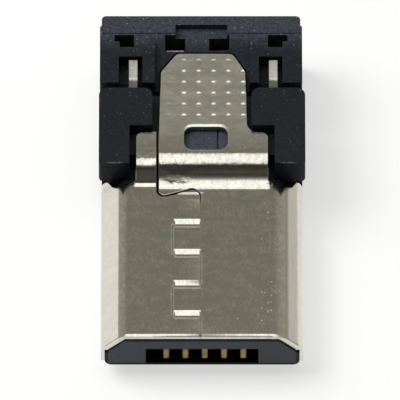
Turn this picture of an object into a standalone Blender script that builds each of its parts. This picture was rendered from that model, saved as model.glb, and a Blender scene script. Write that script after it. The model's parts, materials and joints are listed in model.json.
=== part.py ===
"""Micro-B plug, bare solder type, modelled piece by piece at its real size.

The plug lies with its seam side up. X runs across it, Y from the mating face to the rear, Z up.
Lengths along the plug are measured from the mating face and written as (along, height) or
(across, along) pairs. The origin is at the middle of the underside.
"""
import math

import bmesh
import bpy
from mathutils import Vector, geometry

MM = 0.001

# Overall
PLUG_LENGTH = 12.9 * MM
TUBE_LENGTH = 6.9 * MM
PLASTIC_HEIGHT = 2.9 * MM

# Each of these is 1 mm on the real plug. What lies along the tube or behind it follows its length.
TUBE_UNIT = TUBE_LENGTH / 6.9
REAR_UNIT = (PLUG_LENGTH - TUBE_LENGTH) / 6.0

# Shell: one stamped and folded sheet
SHEET = 0.2 * MM
SHELL_WIDTH = 6.85 * MM
SHELL_HEIGHT = 1.8 * MM
SHELL_RAISE = 0.35 * MM
NARROW_SIDE_WIDTH = 5.4 * MM
CHAMFER_RISE = 0.75 * MM
NARROW_BEND_RADIUS = 0.35 * MM
SIDE_BEND_RADIUS = 0.4 * MM
FLOOR_BEND_RADIUS = 0.45 * MM
SHOULDER_START = TUBE_LENGTH - 0.58 * MM
SHOULDER_SLANT = 0.4
SHOULDER_LEAN = 0.16 * MM
SHOULDER_TURN = 0.28 * MM
SHOULDER_RADIUS = 0.3 * MM
WIDE_SIDE_START = 0.35 * MM
LIP_FADE_START = 0.1 * MM
LIP_FADE_END = 0.3 * MM
COIN_LENGTH = 0.1 * MM
COIN_DEPTH = 0.04 * MM

# Seam of the shell, a row of square teeth and a tongue
SEAM_GAP = 0.04 * MM
SEAM_OFFSET = 0.06 * MM
TOOTH_REACH = 0.94 * MM
TOOTH_LENGTH = 1.25 * TUBE_UNIT
TOOTH_PITCH = 2.54 * TUBE_UNIT
FIRST_TOOTH = 0.95 * TUBE_UNIT
TOOTH_COUNT = 2
TOOTH_CORNER_RADIUS = 0.06 * MM
TONGUE_TIP = TUBE_LENGTH - 1.02 * MM
TONGUE_WIDTH = 1.44 * MM
TONGUE_CORNER_RADIUS = 0.2 * MM
NECK_SEAM_GAP = 0.09 * MM

# Corners of the tongue's tip: how far across and how far behind it, as shares of its width
TONGUE_SHAPE = ((0.0, 0.1), (0.17, 0.225), (0.87, 0.0), (1.0, 0.09))

# Neck and tail tab of the shell
STEP_START = TUBE_LENGTH - 0.78 * MM
STEP_HEIGHT = 0.5 * MM
STEP_ANGLE = math.radians(43.0)
STEP_FOOT_RADIUS = 0.88 * MM
STEP_BROW_RADIUS = 0.96 * MM
FLANGE_STEP_DELAY = 0.13 * MM
FLANGE_STEP_ANGLE = math.radians(50.0)
FLANGE_FOOT_RADIUS = 0.34 * MM
FLANGE_BROW_RADIUS = 0.7 * MM
NECK_WIDTH = 4.5 * MM
NECK_END = TUBE_LENGTH + 1.33 * REAR_UNIT
NECK_CORNER_RADIUS = 0.25 * MM
TAB_RIGHT = 1.55 * MM
TAB_TAPER = 0.07 * MM
TAB_END = TUBE_LENGTH + 4.61 * REAR_UNIT
TAB_CUT_LEFT = 0.55 * MM
TAB_CUT_RIGHT = 0.44 * MM
TAB_CUT_ALONG = 0.77 * MM
TAB_FILLET = 0.25 * MM
TAB_ROOT_FILLET = 0.35 * MM
WINDOW_WIDTH = 1.47 * MM
WINDOW_LENGTH = 0.93 * MM
WINDOW_START = TUBE_LENGTH + 0.59 * REAR_UNIT
WINDOW_OFFSET = 0.13 * MM
WINDOW_RADIUS = 0.3 * MM
DIMPLE_COLUMNS = 6
DIMPLE_ROWS = 6
DIMPLE_PITCH_ACROSS = 0.495 * MM
DIMPLE_PITCH_ALONG = 0.47 * REAR_UNIT
DIMPLE_RADIUS = 0.14 * MM
DIMPLE_SIDES = 8
DIMPLE_DEPTH = 0.05 * MM
DIMPLE_END_MARGIN = 0.23 * MM
DIMPLE_OFFSET = 0.15 * MM
TAIL_PLATE_END = TUBE_LENGTH + 1.3 * REAR_UNIT

# Clearances between pieces
FIT = 0.05 * MM
FLOOR_FIT = 0.05 * MM

# Main insulator
NOSE_START = 0.02 * MM
SLOT_WIDTH = 3.8 * MM
SLOT_ROOF = 1.48 * MM
SLOT_DEPTH = TUBE_LENGTH - 1.6 * MM
NOSE_CHAMFER_RISE = 0.2 * MM
NOSE_CHAMFER_RUN = 0.12 * MM
NOSE_TOP_RADIUS = 0.12 * MM
NOSE_SIDE_RADIUS = 0.2 * MM
ARMS_WIDTH = 7.0 * MM
ARM_START = TUBE_LENGTH - 0.16 * MM
ARM_END = TUBE_LENGTH + 2.99 * REAR_UNIT
ARM_INNER = 2.46 * MM
ARM_FRONT_RADIUS = 0.06 * MM
HEAD_START = TUBE_LENGTH + 1.42 * REAR_UNIT
HEAD_INNER = 1.68 * MM
HEAD_CORNER_RADIUS = 0.3 * MM
ARM_CORNER_RADIUS = 0.3 * MM
OVERHANG_HEIGHT = 1.83 * MM
OVERHANG_RADIUS = 0.18 * MM
UNDERCUT = 0.02 * MM
GROOVE_OFFSET = 0.53 * MM
GROOVE_WIDTH = 0.05 * MM
GROOVE_DEPTH = 0.1 * MM

# Rear housing
HOUSING_WIDTH = 6.88 * MM
HOUSING_SHIFT = -0.035 * MM
HOUSING_START = TUBE_LENGTH + 3.22 * REAR_UNIT
HOUSING_CORNER_RADIUS = 0.15 * MM
HOUSING_FRONT_RADIUS = 0.05 * MM
LIP_LENGTH = 0.45 * MM
LIP_STEP = 0.06 * MM
LEDGE_RAISE = 0.03 * MM
LEDGE_LENGTH = 0.71 * MM
TAB_ROOM_LEFT = 0.09 * MM
TAB_ROOM_RIGHT = 0.04 * MM
TAB_ROOM_DROP = 0.07 * MM
TAB_ROOM_RUN = 0.4 * MM
TAB_GAP = 0.03 * MM
RECESS_LEFT = 0.87 * MM
RECESS_RIGHT = 0.89 * MM
RECESS_DEPTH = 0.24 * MM
RECESS_END = TUBE_LENGTH + 5.63 * REAR_UNIT
HOLE_START = TUBE_LENGTH + 4.72 * REAR_UNIT
HOLE_LENGTH = 0.5 * REAR_UNIT
HOLE_BOTTOM = 1.3 * MM
INNER_HOLE_WIDTH = 0.68 * MM
INNER_HOLE_SPACING = 1.5 * MM
INNER_HOLE_SHIFT = -0.13 * MM
CORNER_HOLE_WIDTH = 0.49 * MM
CORNER_HOLE_SPACING = 5.05 * MM
CORNER_HOLE_LENGTH = 0.26 * MM
CORNER_HOLE_REACH = 0.17 * MM
ROD_SLOT_WIDTH = 0.8 * MM
ROD_SLOT_DEPTH = 0.55 * MM
ROD_SLOT_SHIFT = -0.015 * MM
SPIGOT_WIDTH = 2.8 * MM
SPIGOT_LOW = 1.2 * MM
SPIGOT_HEIGHT = 0.9 * MM
SPIGOT_LENGTH = 0.6 * MM

# Contacts
CONTACT_COUNT = 5
CONTACT_PITCH = 0.65 * MM
CONTACT_SHIFT = 0.09 * MM
CONTACT_WIDTH = 0.25 * MM
CONTACT_THICKNESS = 0.12 * MM
CONTACT_FRONT = 0.12 * MM
CONTACT_LOW = 0.63 * MM
CONTACT_LINE = 1.6 * MM
CONTACT_CURL = 0.65 * MM
CONTACT_CURL_RADIUS = 0.13 * MM
CONTACT_NOSE_RADIUS = 0.18 * MM
CONTACT_BEND_START = TUBE_LENGTH + 0.85 * REAR_UNIT
CONTACT_BEND_RUN = 0.9 * REAR_UNIT
CONTACT_BEND_RADIUS = 0.25 * MM
TAIL_LINE = 0.7 * MM
TAIL_END = TUBE_LENGTH + 5.3 * REAR_UNIT
TAIL_BAY_WIDTH = 3.5 * MM

# Latch springs
LATCH_SPACING = 4.76 * MM
LATCH_SHIFT = 0.04 * MM
LATCH_THICKNESS = 0.31 * MM
LATCH_TIP = 0.75 * MM
LATCH_BEAM_TOP = 1.3 * MM
LATCH_BEAM_HEIGHT = 0.45 * MM
HOOK_POINT = 1.45 * MM
HOOK_LENGTH = 0.3 * MM
HOOK_SLOPE = 0.4 * MM
HOOK_HEIGHT = 0.02 * MM
LATCH_PIVOT_ALONG = TUBE_LENGTH + 3.1 * REAR_UNIT
LATCH_PIVOT_HEIGHT = 2.2 * MM
LATCH_TRAVEL = math.radians(2.4)
ROD_TOP = 2.75 * MM
ROD_HEIGHT = 0.32 * MM
ROD_END = TUBE_LENGTH + 4.27 * REAR_UNIT
ROD_FRONT = TUBE_LENGTH + 3.45 * REAR_UNIT
ROD_SLOPE = 0.84

# Corner radii of a latch spring: its lower edge from front to rear, then its upper edge back
LATCH_LOWER_RADII = [r * MM for r in (0.1, 0.08, 0.06, 0.12, 0.3, 0.2, 0.03)]
LATCH_UPPER_RADII = [r * MM for r in (0.03, 0.2, 0.3, 0.15, 0.1)]

# Smoothness and overshoot of cutters
ARC_STEPS = 5
CUT_PAST = 0.3 * MM

# Places worked out from the sizes above
FRONT_Y = -PLUG_LENGTH / 2
SHELL_TOP = SHELL_RAISE + SHELL_HEIGHT
SHELL_FLOOR = SHELL_RAISE + SHEET
SHELL_ROOF = SHELL_TOP - SHEET
TAB_TOP = SHELL_TOP + STEP_HEIGHT
TAB_FLOOR = TAB_TOP - SHEET - FIT
TAB_LEFT = -SEAM_OFFSET - TONGUE_WIDTH + SEAM_GAP / 2
HOOK_REAR = HOOK_POINT + HOOK_LENGTH
SLIDE_ROOM = CONTACT_THICKNESS / 2 + FIT
TAIL_BAY_ROOF = TAIL_LINE + SLIDE_ROOM + FIT / 2


def clear_scene():
    """Remove whatever the file held before."""
    for item in list(bpy.data.objects):
        bpy.data.objects.remove(item, do_unlink=True)


def make_material(name, colour, roughness, metallic):
    """A Principled material with one colour, roughness and metallic value."""
    material = bpy.data.materials.new(name)
    material.use_nodes = True
    shader = material.node_tree.nodes["Principled BSDF"]
    shader.inputs["Base Color"].default_value = (*colour, 1.0)
    shader.inputs["Roughness"].default_value = roughness
    shader.inputs["Metallic"].default_value = metallic
    material.diffuse_color = (*colour, 1.0)
    return material


def add_object(name, mesh, material=None, smooth=False):
    """Put a mesh in the scene under its piece's name."""
    item = bpy.data.objects.new(name, mesh)
    bpy.context.scene.collection.objects.link(item)
    if material:
        mesh.materials.append(material)
    if smooth:
        mesh.shade_smooth()
        mesh.set_sharp_from_angle(angle=math.radians(30))
    return item


def fillet(points, radii, closed=True):
    """Round the corners of a 2-D outline or path; radii is one radius or one for each point."""
    if not hasattr(radii, "__len__"):
        radii = [radii] * len(points)
    result = []
    count = len(points)
    for index, corner in enumerate(points):
        at_end = not closed and index in (0, count - 1)
        if at_end or radii[index] <= 0:
            result.append(tuple(corner))
            continue
        here = Vector(corner)
        to_last = Vector(points[index - 1]) - here
        to_next = Vector(points[(index + 1) % count]) - here
        half = to_last.angle(to_next) / 2
        run = min(radii[index] / math.tan(half), to_last.length * 0.49, to_next.length * 0.49)
        radius = run * math.tan(half)
        middle = (to_last.normalized() + to_next.normalized()).normalized()
        centre = here + middle * (radius / math.sin(half))
        start = here + to_last.normalized() * run - centre
        turn = start.angle_signed(here + to_next.normalized() * run - centre)
        for step in range(ARC_STEPS + 1):
            angle = -turn * step / ARC_STEPS
            x = start.x * math.cos(angle) - start.y * math.sin(angle)
            y = start.x * math.sin(angle) + start.y * math.cos(angle)
            result.append((centre.x + x, centre.y + y))
    return result


def offset_path(points, distance):
    """A path parallel to an open one, to its left by distance, with mitred corners."""
    result = []
    for index, point in enumerate(points):
        here = Vector(point)
        before = here - Vector(points[index - 1]) if index > 0 else None
        after = Vector(points[index + 1]) - here if index < len(points) - 1 else None
        directions = [d.normalized() for d in (before, after) if d is not None]
        normals = [Vector((-d.y, d.x)) for d in directions]
        mitre = sum(normals, Vector((0.0, 0.0))).normalized()
        result.append(tuple(here + mitre * (distance / mitre.dot(normals[0]))))
    return result


def box_outline(low_a, high_a, low_b, high_b):
    """The four corners of a rectangle."""
    return [(low_a, low_b), (high_a, low_b), (high_a, high_b), (low_a, high_b)]


def prism(name, outlines, axis, low, high):
    """A mesh of closed outlines, each extruded along one axis.

    Along X an outline holds (along, height), along Y (across, height) with low and high measured
    from the mating face, and along Z (across, along).
    """
    place = {
        "X": lambda a, b, c: (c, FRONT_Y + a, b),
        "Y": lambda a, b, c: (a, FRONT_Y + c, b),
        "Z": lambda a, b, c: (a, FRONT_Y + b, c),
    }[axis]
    bm = bmesh.new()
    for outline in outlines:
        ends = [[bm.verts.new(place(a, b, c)) for a, b in outline] for c in (low, high)]
        bm.faces.new(ends[0])
        bm.faces.new(ends[1])
        for index in range(len(outline)):
            after = (index + 1) % len(outline)
            bm.faces.new((ends[0][index], ends[0][after], ends[1][after], ends[1][index]))
    bmesh.ops.recalc_face_normals(bm, faces=bm.faces)
    mesh = bpy.data.meshes.new(name)
    bm.to_mesh(mesh)
    bm.free()
    return mesh


def combine(target, mesh, operation="DIFFERENCE"):
    """Cut a mesh from a piece, or join it on, through a Boolean modifier."""
    tool = add_object(mesh.name, mesh)
    tool.location = target.location
    tool.hide_render = True
    tool.display_type = "WIRE"
    modifier = target.modifiers.new(mesh.name, "BOOLEAN")
    modifier.operation = operation
    modifier.solver = "EXACT"
    modifier.object = tool


# The shell's folded section


def shell_section():
    """The outer corners of the shell's section, from the middle of the narrow side, going right."""
    half = SHELL_WIDTH / 2
    narrow = NARROW_SIDE_WIDTH / 2
    side_top = SHELL_TOP - CHAMFER_RISE
    right = [
        (narrow, SHELL_TOP, NARROW_BEND_RADIUS),
        (half, side_top, SIDE_BEND_RADIUS),
        (half, SHELL_RAISE, FLOOR_BEND_RADIUS),
    ]
    left = [(-x, z, radius) for x, z, radius in reversed(right)]
    return right + left


class Fold:
    """Lays a flat blank round the shell's section: u runs round the section, v along the plug."""

    def __init__(self):
        corners = shell_section()
        self.spans = []
        self.length = 0.0
        position = Vector((0.0, SHELL_TOP))
        heading = Vector((1.0, 0.0))
        for index, (x, z, radius) in enumerate(corners):
            corner = Vector((x, z))
            following = corners[index + 1] if index + 1 < len(corners) else (0.0, SHELL_TOP, 0.0)
            leaving = (Vector(following[:2]) - corner).normalized()
            turn = heading.angle(leaving)
            run = radius * math.tan(turn / 2)
            self.add_straight(position, corner - heading * run, heading)
            centre = corner - heading * run + self.inward(heading) * radius
            self.spans.append(("arc", self.length, radius * turn, centre, heading.copy(), radius))
            self.length += radius * turn
            position = corner + leaving * run
            heading = leaving
        self.add_straight(position, Vector((0.0, SHELL_TOP)), heading)
        self.flat_half = self.spans[0][2]

    @staticmethod
    def inward(heading):
        """The way into the tube, to the right of the heading."""
        return Vector((heading.y, -heading.x))

    def add_straight(self, start, end, heading):
        """Add a flat stretch of the section."""
        length = (end - start).length
        self.spans.append(("line", self.length, length, start.copy(), heading.copy(), 0.0))
        self.length += length

    def section(self, u):
        """The point and outward normal at u, as (across, height) vectors."""
        u = u % self.length
        for kind, start, length, anchor, heading, radius in self.spans:
            if u > start + length and start + length < self.length - 1e-9:
                continue
            if kind == "line":
                return anchor + heading * (u - start), -self.inward(heading)
            angle = (u - start) / radius
            outward = -self.inward(heading)
            outward = Vector((
                outward.x * math.cos(angle) + outward.y * math.sin(angle),
                -outward.x * math.sin(angle) + outward.y * math.cos(angle),
            ))
            return anchor + outward * radius, outward
        raise ValueError(u)

    def bend_lines(self):
        """The values of u where the sheet is creased to follow the section's bends."""
        lines = []
        for kind, start, length, *_ in self.spans:
            if kind == "arc":
                lines += [start + length * step / ARC_STEPS for step in range(ARC_STEPS + 1)]
        return lines

    def floor_u(self, across):
        """The u of a point on the shell's wide side."""
        return self.length / 2 - across


class Step:
    """A rise of the neck's sheet: an arc at its foot, a ramp and an arc at its brow."""

    def __init__(self, start, angle, foot_radius, brow_radius):
        both = foot_radius + brow_radius
        self.angle = min(angle, math.acos(max(0.0, 1 - STEP_HEIGHT / both)))
        self.start = start
        self.foot_radius = foot_radius
        self.brow_radius = brow_radius
        self.foot_run = foot_radius * math.sin(self.angle)
        self.foot_rise = foot_radius * (1 - math.cos(self.angle))
        ramp_rise = STEP_HEIGHT - both * (1 - math.cos(self.angle))
        self.ramp_run = ramp_rise / math.tan(self.angle)
        brow_run = brow_radius * math.sin(self.angle)
        self.end = start + self.foot_run + self.ramp_run + brow_run

    def rise(self, v):
        """How far the sheet has risen at v, and the tangent of its slope there."""
        along = v - self.start
        left = self.end - v
        if along <= 0:
            return 0.0, 0.0
        if left <= 0:
            return STEP_HEIGHT, 0.0
        if along < self.foot_run:
            fall = math.sqrt(self.foot_radius ** 2 - along ** 2)
            return self.foot_radius - fall, along / fall
        if along < self.foot_run + self.ramp_run:
            steepness = math.tan(self.angle)
            return self.foot_rise + (along - self.foot_run) * steepness, steepness
        fall = math.sqrt(self.brow_radius ** 2 - left ** 2)
        return STEP_HEIGHT - self.brow_radius + fall, left / fall

    def lines(self):
        """The values of v where the sheet is creased to follow the step."""
        runs = [math.sin(self.angle * step / ARC_STEPS) for step in range(ARC_STEPS + 1)]
        foot = [self.start + self.foot_radius * run for run in runs]
        return foot + [self.end - self.brow_radius * run for run in runs]


NECK_STEP = Step(STEP_START, STEP_ANGLE, STEP_FOOT_RADIUS, STEP_BROW_RADIUS)
FLANGE_STEP = Step(STEP_START + FLANGE_STEP_DELAY, FLANGE_STEP_ANGLE,
                   FLANGE_FOOT_RADIUS, FLANGE_BROW_RADIUS)


def place_on_shell(fold, u, v, depth, sunk):
    """The point of the folded sheet at (u, v), depth below its outer face and sunk by a dimple."""
    point, outward = fold.section(u)
    coin = COIN_DEPTH * max(0.0, 1 - v / COIN_LENGTH) if depth == 0 else 0.0
    on_top = abs(outward.x) < 1e-6 and outward.y > 0
    step = NECK_STEP if u < fold.length / 2 else FLANGE_STEP
    rise, slope = step.rise(v) if on_top else (0.0, 0.0)
    fade_start = NECK_WIDTH / 2
    beyond = abs(point.x) - fade_start
    if beyond > 0:
        share = max(0.0, 1 - beyond / max(fold.flat_half - fade_start, 1e-9))
        rise, slope = rise * share, slope * share
    lean = math.atan(slope)
    drop = depth + coin + sunk
    across = point.x - outward.x * drop
    along = v + math.sin(lean) * drop
    height = point.y + rise - outward.y * drop * math.cos(lean)
    return across, FRONT_Y + along, height


def seam_path():
    """The seam's middle line from the mating face to the neck's rear edge, as (u, v)."""
    base = -SEAM_OFFSET
    path = [(base, 0.0)]
    for tooth in range(TOOTH_COUNT):
        start = FIRST_TOOTH + tooth * TOOTH_PITCH
        end = start + TOOTH_LENGTH
        path += [(base, start), (base - TOOTH_REACH, start), (base - TOOTH_REACH, end), (base, end)]
    for across, behind in TONGUE_SHAPE:
        path.append((base - TONGUE_WIDTH * across, TONGUE_TIP + TONGUE_WIDTH * behind))
    path.append((base - TONGUE_WIDTH, NECK_END))
    radii = [0.0] + [TOOTH_CORNER_RADIUS] * (4 * TOOTH_COUNT)
    radii += [TONGUE_CORNER_RADIUS] * len(TONGUE_SHAPE) + [0.0]
    return fillet(path, radii, closed=False)


def shell_blank(fold):
    """The outline of the flat sheet, counter-clockwise, as (u, v) points."""
    around = fold.length
    middle = seam_path()
    right_edge = offset_path(middle, -SEAM_GAP / 2)
    left_edge = offset_path(middle, SEAM_GAP / 2)
    neck_edge = left_edge[-1][0] - (NECK_SEAM_GAP - SEAM_GAP)
    left_edge = left_edge[:-2] + [(neck_edge, left_edge[-2][1] + SEAM_GAP), (neck_edge, NECK_END)]
    neck = NECK_WIDTH / 2
    slant = SHOULDER_START + (NARROW_SIDE_WIDTH / 2 - neck) * SHOULDER_SLANT
    shoulder = NARROW_SIDE_WIDTH / 2
    side_start = fold.spans[3][1]
    outline = [(u + around, v) for u, v in left_edge]
    outline += fillet([
        (around + neck_edge, NECK_END),
        (around - neck, NECK_END),
        (around - neck, slant),
    ], NECK_CORNER_RADIUS, closed=False)[1:]
    notch = fillet([
        (shoulder, SHOULDER_START),
        (side_start - SHOULDER_TURN, SHOULDER_START + SHOULDER_LEAN),
        (side_start, TUBE_LENGTH),
    ], SHOULDER_RADIUS, closed=False)
    outline += [(around - u, v) for u, v in notch] + [(fold.floor_u(-neck), TUBE_LENGTH)]
    outline += [(fold.floor_u(-neck), TAIL_PLATE_END), (fold.floor_u(neck), TAIL_PLATE_END)]
    outline += [(fold.floor_u(neck), TUBE_LENGTH)] + list(reversed(notch)) + [(neck, slant)]
    outline += fillet([
        (neck, slant),
        (neck, NECK_END),
        (TAB_RIGHT, NECK_END),
        (TAB_RIGHT - TAB_TAPER, TAB_END - TAB_CUT_ALONG),
        (TAB_RIGHT - TAB_TAPER - TAB_CUT_RIGHT, TAB_END),
        (TAB_LEFT + TAB_TAPER + TAB_CUT_LEFT, TAB_END),
        (TAB_LEFT + TAB_TAPER, TAB_END - TAB_CUT_ALONG),
        (TAB_LEFT, NECK_END),
    ], [0, NECK_CORNER_RADIUS, TAB_ROOT_FILLET] + [TAB_FILLET] * 4 + [0], closed=False)[1:]
    outline += [(u, v) for u, v in reversed(right_edge[:-1])]
    bend = fold.spans[5][1]
    lip = [(bend + LIP_FADE_START, 0.0), (bend + LIP_FADE_END, WIDE_SIDE_START)]
    return outline + lip + [(around - u, v) for u, v in reversed(lip)]


def shell_openings(fold):
    """The holes of the flat sheet: the window in the neck and one for each latch hook."""
    window = fillet(box_outline(
        WINDOW_OFFSET - WINDOW_WIDTH / 2, WINDOW_OFFSET + WINDOW_WIDTH / 2,
        WINDOW_START, WINDOW_START + WINDOW_LENGTH,
    ), WINDOW_RADIUS)
    room = LATCH_THICKNESS / 2 + 2 * FIT
    openings = [window]
    for side in (-1, 1):
        centre = fold.floor_u(LATCH_SHIFT + side * LATCH_SPACING / 2)
        openings.append(box_outline(
            centre - room, centre + room,
            HOOK_POINT - HOOK_SLOPE - 2 * FIT, HOOK_REAR + HOOK_SLOPE / 2 + 3 * FIT,
        ))
    return openings


def dimple_centres():
    """The centres of the coined dimples on the tab; the last row leaves its corners out."""
    centres = []
    for row in range(DIMPLE_ROWS):
        v = TAB_END - DIMPLE_END_MARGIN - row * DIMPLE_PITCH_ALONG
        for column in range(DIMPLE_COLUMNS):
            at_corner = row == 0 and column in (0, DIMPLE_COLUMNS - 1)
            if not at_corner:
                middle = (DIMPLE_COLUMNS - 1) / 2
                centres.append((DIMPLE_OFFSET + (column - middle) * DIMPLE_PITCH_ACROSS, v))
    return centres


def inside(point, outline):
    """Whether a point lies inside a closed outline."""
    x, y = point
    result = False
    for index, (x1, y1) in enumerate(outline):
        x0, y0 = outline[index - 1]
        if (y0 > y) != (y1 > y) and x < (x1 - x0) * (y - y0) / (y1 - y0) + x0:
            result = not result
    return result


def mesh_blank(fold):
    """Triangulate the flat sheet with its bend lines; returns points, triangles and sunk points."""
    outline = shell_blank(fold)
    openings = shell_openings(fold)
    points = []
    edges = []

    def add_loop(loop):
        first = len(points)
        points.extend(loop)
        edges.extend((first + i, first + (i + 1) % len(loop)) for i in range(len(loop)))

    def add_line(start, end):
        edges.append((len(points), len(points) + 1))
        points.extend((start, end))

    add_loop(outline)
    for opening in openings:
        add_loop(opening)
    for u in fold.bend_lines():
        add_line((u, -CUT_PAST), (u, TUBE_LENGTH + CUT_PAST))
    add_line((-TAB_RIGHT - CUT_PAST, COIN_LENGTH), (fold.length + CUT_PAST, COIN_LENGTH))
    reach = NECK_WIDTH / 2 + CUT_PAST
    for v in NECK_STEP.lines():
        add_line((-reach, v), (reach, v))
    for v in FLANGE_STEP.lines():
        add_line((fold.length - reach, v), (fold.length, v))
    sunk_points = []
    for u, v in dimple_centres():
        rim = [2 * math.pi * step / DIMPLE_SIDES for step in range(DIMPLE_SIDES)]
        add_loop([(u + DIMPLE_RADIUS * math.cos(a), v + DIMPLE_RADIUS * math.sin(a)) for a in rim])
        sunk_points.append((u, v))
    points.extend(sunk_points)
    corners, _, faces, *_ = geometry.delaunay_2d_cdt(
        [Vector(point) for point in points], edges, [], 0, 1e-8)
    kept = []
    for face in faces:
        centre = tuple(sum((corners[i] for i in face), Vector((0.0, 0.0))) / len(face))
        if inside(centre, outline) and not any(inside(centre, hole) for hole in openings):
            kept.append(tuple(face))
    return corners, kept, sunk_points


def make_shell(material):
    """The stamped shell: a flat blank with its seam, tab and openings, folded and thickened."""
    fold = Fold()
    corners, faces, sunk_points = mesh_blank(fold)
    used = sorted({index for face in faces for index in face})
    bm = bmesh.new()
    layers = []
    for depth in (0.0, SHEET):
        layer = {}
        for index in used:
            u, v = corners[index]
            near = min((math.hypot(u - a, v - b) for a, b in sunk_points))
            sunk = DIMPLE_DEPTH if near < DIMPLE_RADIUS / 4 and depth == 0.0 else 0.0
            layer[index] = bm.verts.new(place_on_shell(fold, u, v, depth, sunk))
        layers.append(layer)
    outer, inner = layers
    sides = {}
    for face in faces:
        bm.faces.new([outer[i] for i in face])
        bm.faces.new([inner[i] for i in reversed(face)])
        for index in range(len(face)):
            edge = (face[index], face[(index + 1) % len(face)])
            if (edge[1], edge[0]) in sides:
                del sides[(edge[1], edge[0])]
            else:
                sides[edge] = True
    for start, end in sides:
        bm.faces.new((outer[end], outer[start], inner[start], inner[end]))
    bmesh.ops.recalc_face_normals(bm, faces=bm.faces)
    mesh = bpy.data.meshes.new("shell")
    bm.to_mesh(mesh)
    bm.free()
    return add_object("shell", mesh, material, smooth=True)


# Latch springs


def latch_edges():
    """The latch spring's upper and lower edges from front to rear, as (along, height)."""
    beam_low = LATCH_BEAM_TOP - LATCH_BEAM_HEIGHT
    drop = (ROD_TOP - LATCH_BEAM_TOP) / ROD_SLOPE
    upper = [
        (LATCH_TIP, LATCH_BEAM_TOP - LATCH_BEAM_HEIGHT / 3),
        (LATCH_TIP + LATCH_BEAM_HEIGHT / 2, LATCH_BEAM_TOP),
        (ROD_FRONT - drop, LATCH_BEAM_TOP),
        (ROD_FRONT, ROD_TOP),
        (ROD_END, ROD_TOP),
    ]
    rod_low = ROD_TOP - ROD_HEIGHT
    low_drop = (rod_low - beam_low) / ROD_SLOPE
    lower = [
        (LATCH_TIP, beam_low + LATCH_BEAM_HEIGHT / 3),
        (HOOK_POINT, HOOK_HEIGHT),
        (HOOK_REAR, HOOK_HEIGHT),
        (HOOK_REAR + HOOK_SLOPE / 2, beam_low),
        (ROD_FRONT + ROD_HEIGHT / 2 - low_drop, beam_low),
        (ROD_FRONT + ROD_HEIGHT / 2, rod_low),
        (ROD_END, rod_low),
    ]
    return upper, lower


def latch_channel():
    """The room a latch spring needs in the plastic over its whole travel, as (along, height)."""
    swing = math.tan(LATCH_TRAVEL)
    upper, lower = latch_edges()
    roof = [(a, z + FIT + max(0.0, LATCH_PIVOT_ALONG - a) * swing) for a, z in upper]
    floor = [(a, z - FIT - max(0.0, a - LATCH_PIVOT_ALONG) * swing) for a, z in lower]
    front = LATCH_TIP - 2 * FIT
    mouth = SHELL_RAISE - CUT_PAST
    roof_front = LATCH_BEAM_TOP + FIT + (LATCH_PIVOT_ALONG - front) * swing
    belly = floor[4]
    outline = [(front, mouth), (belly[0], mouth), belly] + floor[5:]
    outline += [(ROD_END + CUT_PAST, floor[-1][1]), (ROD_END + CUT_PAST, roof[-1][1])]
    outline += [roof[3], roof[2], (front, roof_front)]
    return outline


def make_latch_springs(material):
    """Two stamped blades with a hook in front and a bent rod end behind, hung on their pivots."""
    for side, name in ((-1, "latch_spring_left"), (1, "latch_spring_right")):
        upper, lower = latch_edges()
        outline = lower + list(reversed(upper))
        radii = LATCH_LOWER_RADII + LATCH_UPPER_RADII
        across = LATCH_SHIFT + side * LATCH_SPACING / 2
        mesh = prism(name, [fillet(outline, radii)], "X",
                     across - LATCH_THICKNESS / 2, across + LATCH_THICKNESS / 2)
        pivot = Vector((across, FRONT_Y + LATCH_PIVOT_ALONG, LATCH_PIVOT_HEIGHT))
        for vertex in mesh.vertices:
            vertex.co -= pivot
        latch = add_object(name, mesh, material, smooth=True)
        latch.location = pivot


# Contacts


def contact_places():
    """Where each contact lies across the plug."""
    middle = (CONTACT_COUNT - 1) / 2
    return [CONTACT_SHIFT + (index - middle) * CONTACT_PITCH for index in range(CONTACT_COUNT)]


def make_contacts(material):
    """Gold plated strips: a curled tip in the slot, a long beam and a solder tail."""
    line = CONTACT_FRONT + CONTACT_THICKNESS / 2
    low = CONTACT_LOW + CONTACT_THICKNESS / 2
    path = [
        (line + CONTACT_CURL, low + CONTACT_CURL / 5),
        (line, low - CONTACT_THICKNESS / 4),
        (line, CONTACT_LINE),
        (CONTACT_BEND_START, CONTACT_LINE),
        (CONTACT_BEND_START + CONTACT_BEND_RUN, TAIL_LINE),
        (TAIL_END, TAIL_LINE),
    ]
    radii = [0, CONTACT_CURL_RADIUS, CONTACT_NOSE_RADIUS]
    radii += [CONTACT_BEND_RADIUS, CONTACT_BEND_RADIUS, 0]
    path = fillet(path, radii, closed=False)
    half = CONTACT_THICKNESS / 2
    outline = offset_path(path, half) + list(reversed(offset_path(path, -half)))
    for number, across in enumerate(contact_places(), start=1):
        name = f"contact_{number}"
        mesh = prism(name, [outline], "X", across - CONTACT_WIDTH / 2, across + CONTACT_WIDTH / 2)
        contact = add_object(name, mesh, material, smooth=True)
        pivot = Vector((across, FRONT_Y, CONTACT_LINE))
        for vertex in mesh.vertices:
            vertex.co -= pivot
        contact.location = pivot


def contact_passage():
    """The groove and passage of a contact in the plastic, as (along, height)."""
    start = CONTACT_FRONT - FIT
    path = [
        (start, CONTACT_LINE),
        (CONTACT_BEND_START, CONTACT_LINE),
        (CONTACT_BEND_START + CONTACT_BEND_RUN, TAIL_LINE),
        (CONTACT_BEND_START + 2 * CONTACT_BEND_RUN, TAIL_LINE),
    ]
    path = fillet(path, [0, CONTACT_BEND_RADIUS, CONTACT_BEND_RADIUS, 0], closed=False)
    upper = offset_path(path, SLIDE_ROOM)
    lower = offset_path(path, -SLIDE_ROOM)
    below = SLOT_ROOF - 2 * FIT
    lower[0] = (SLOT_DEPTH, lower[1][1])
    return [(start, below), (SLOT_DEPTH, below)] + lower + list(reversed(upper))


# Plastic pieces


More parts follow.
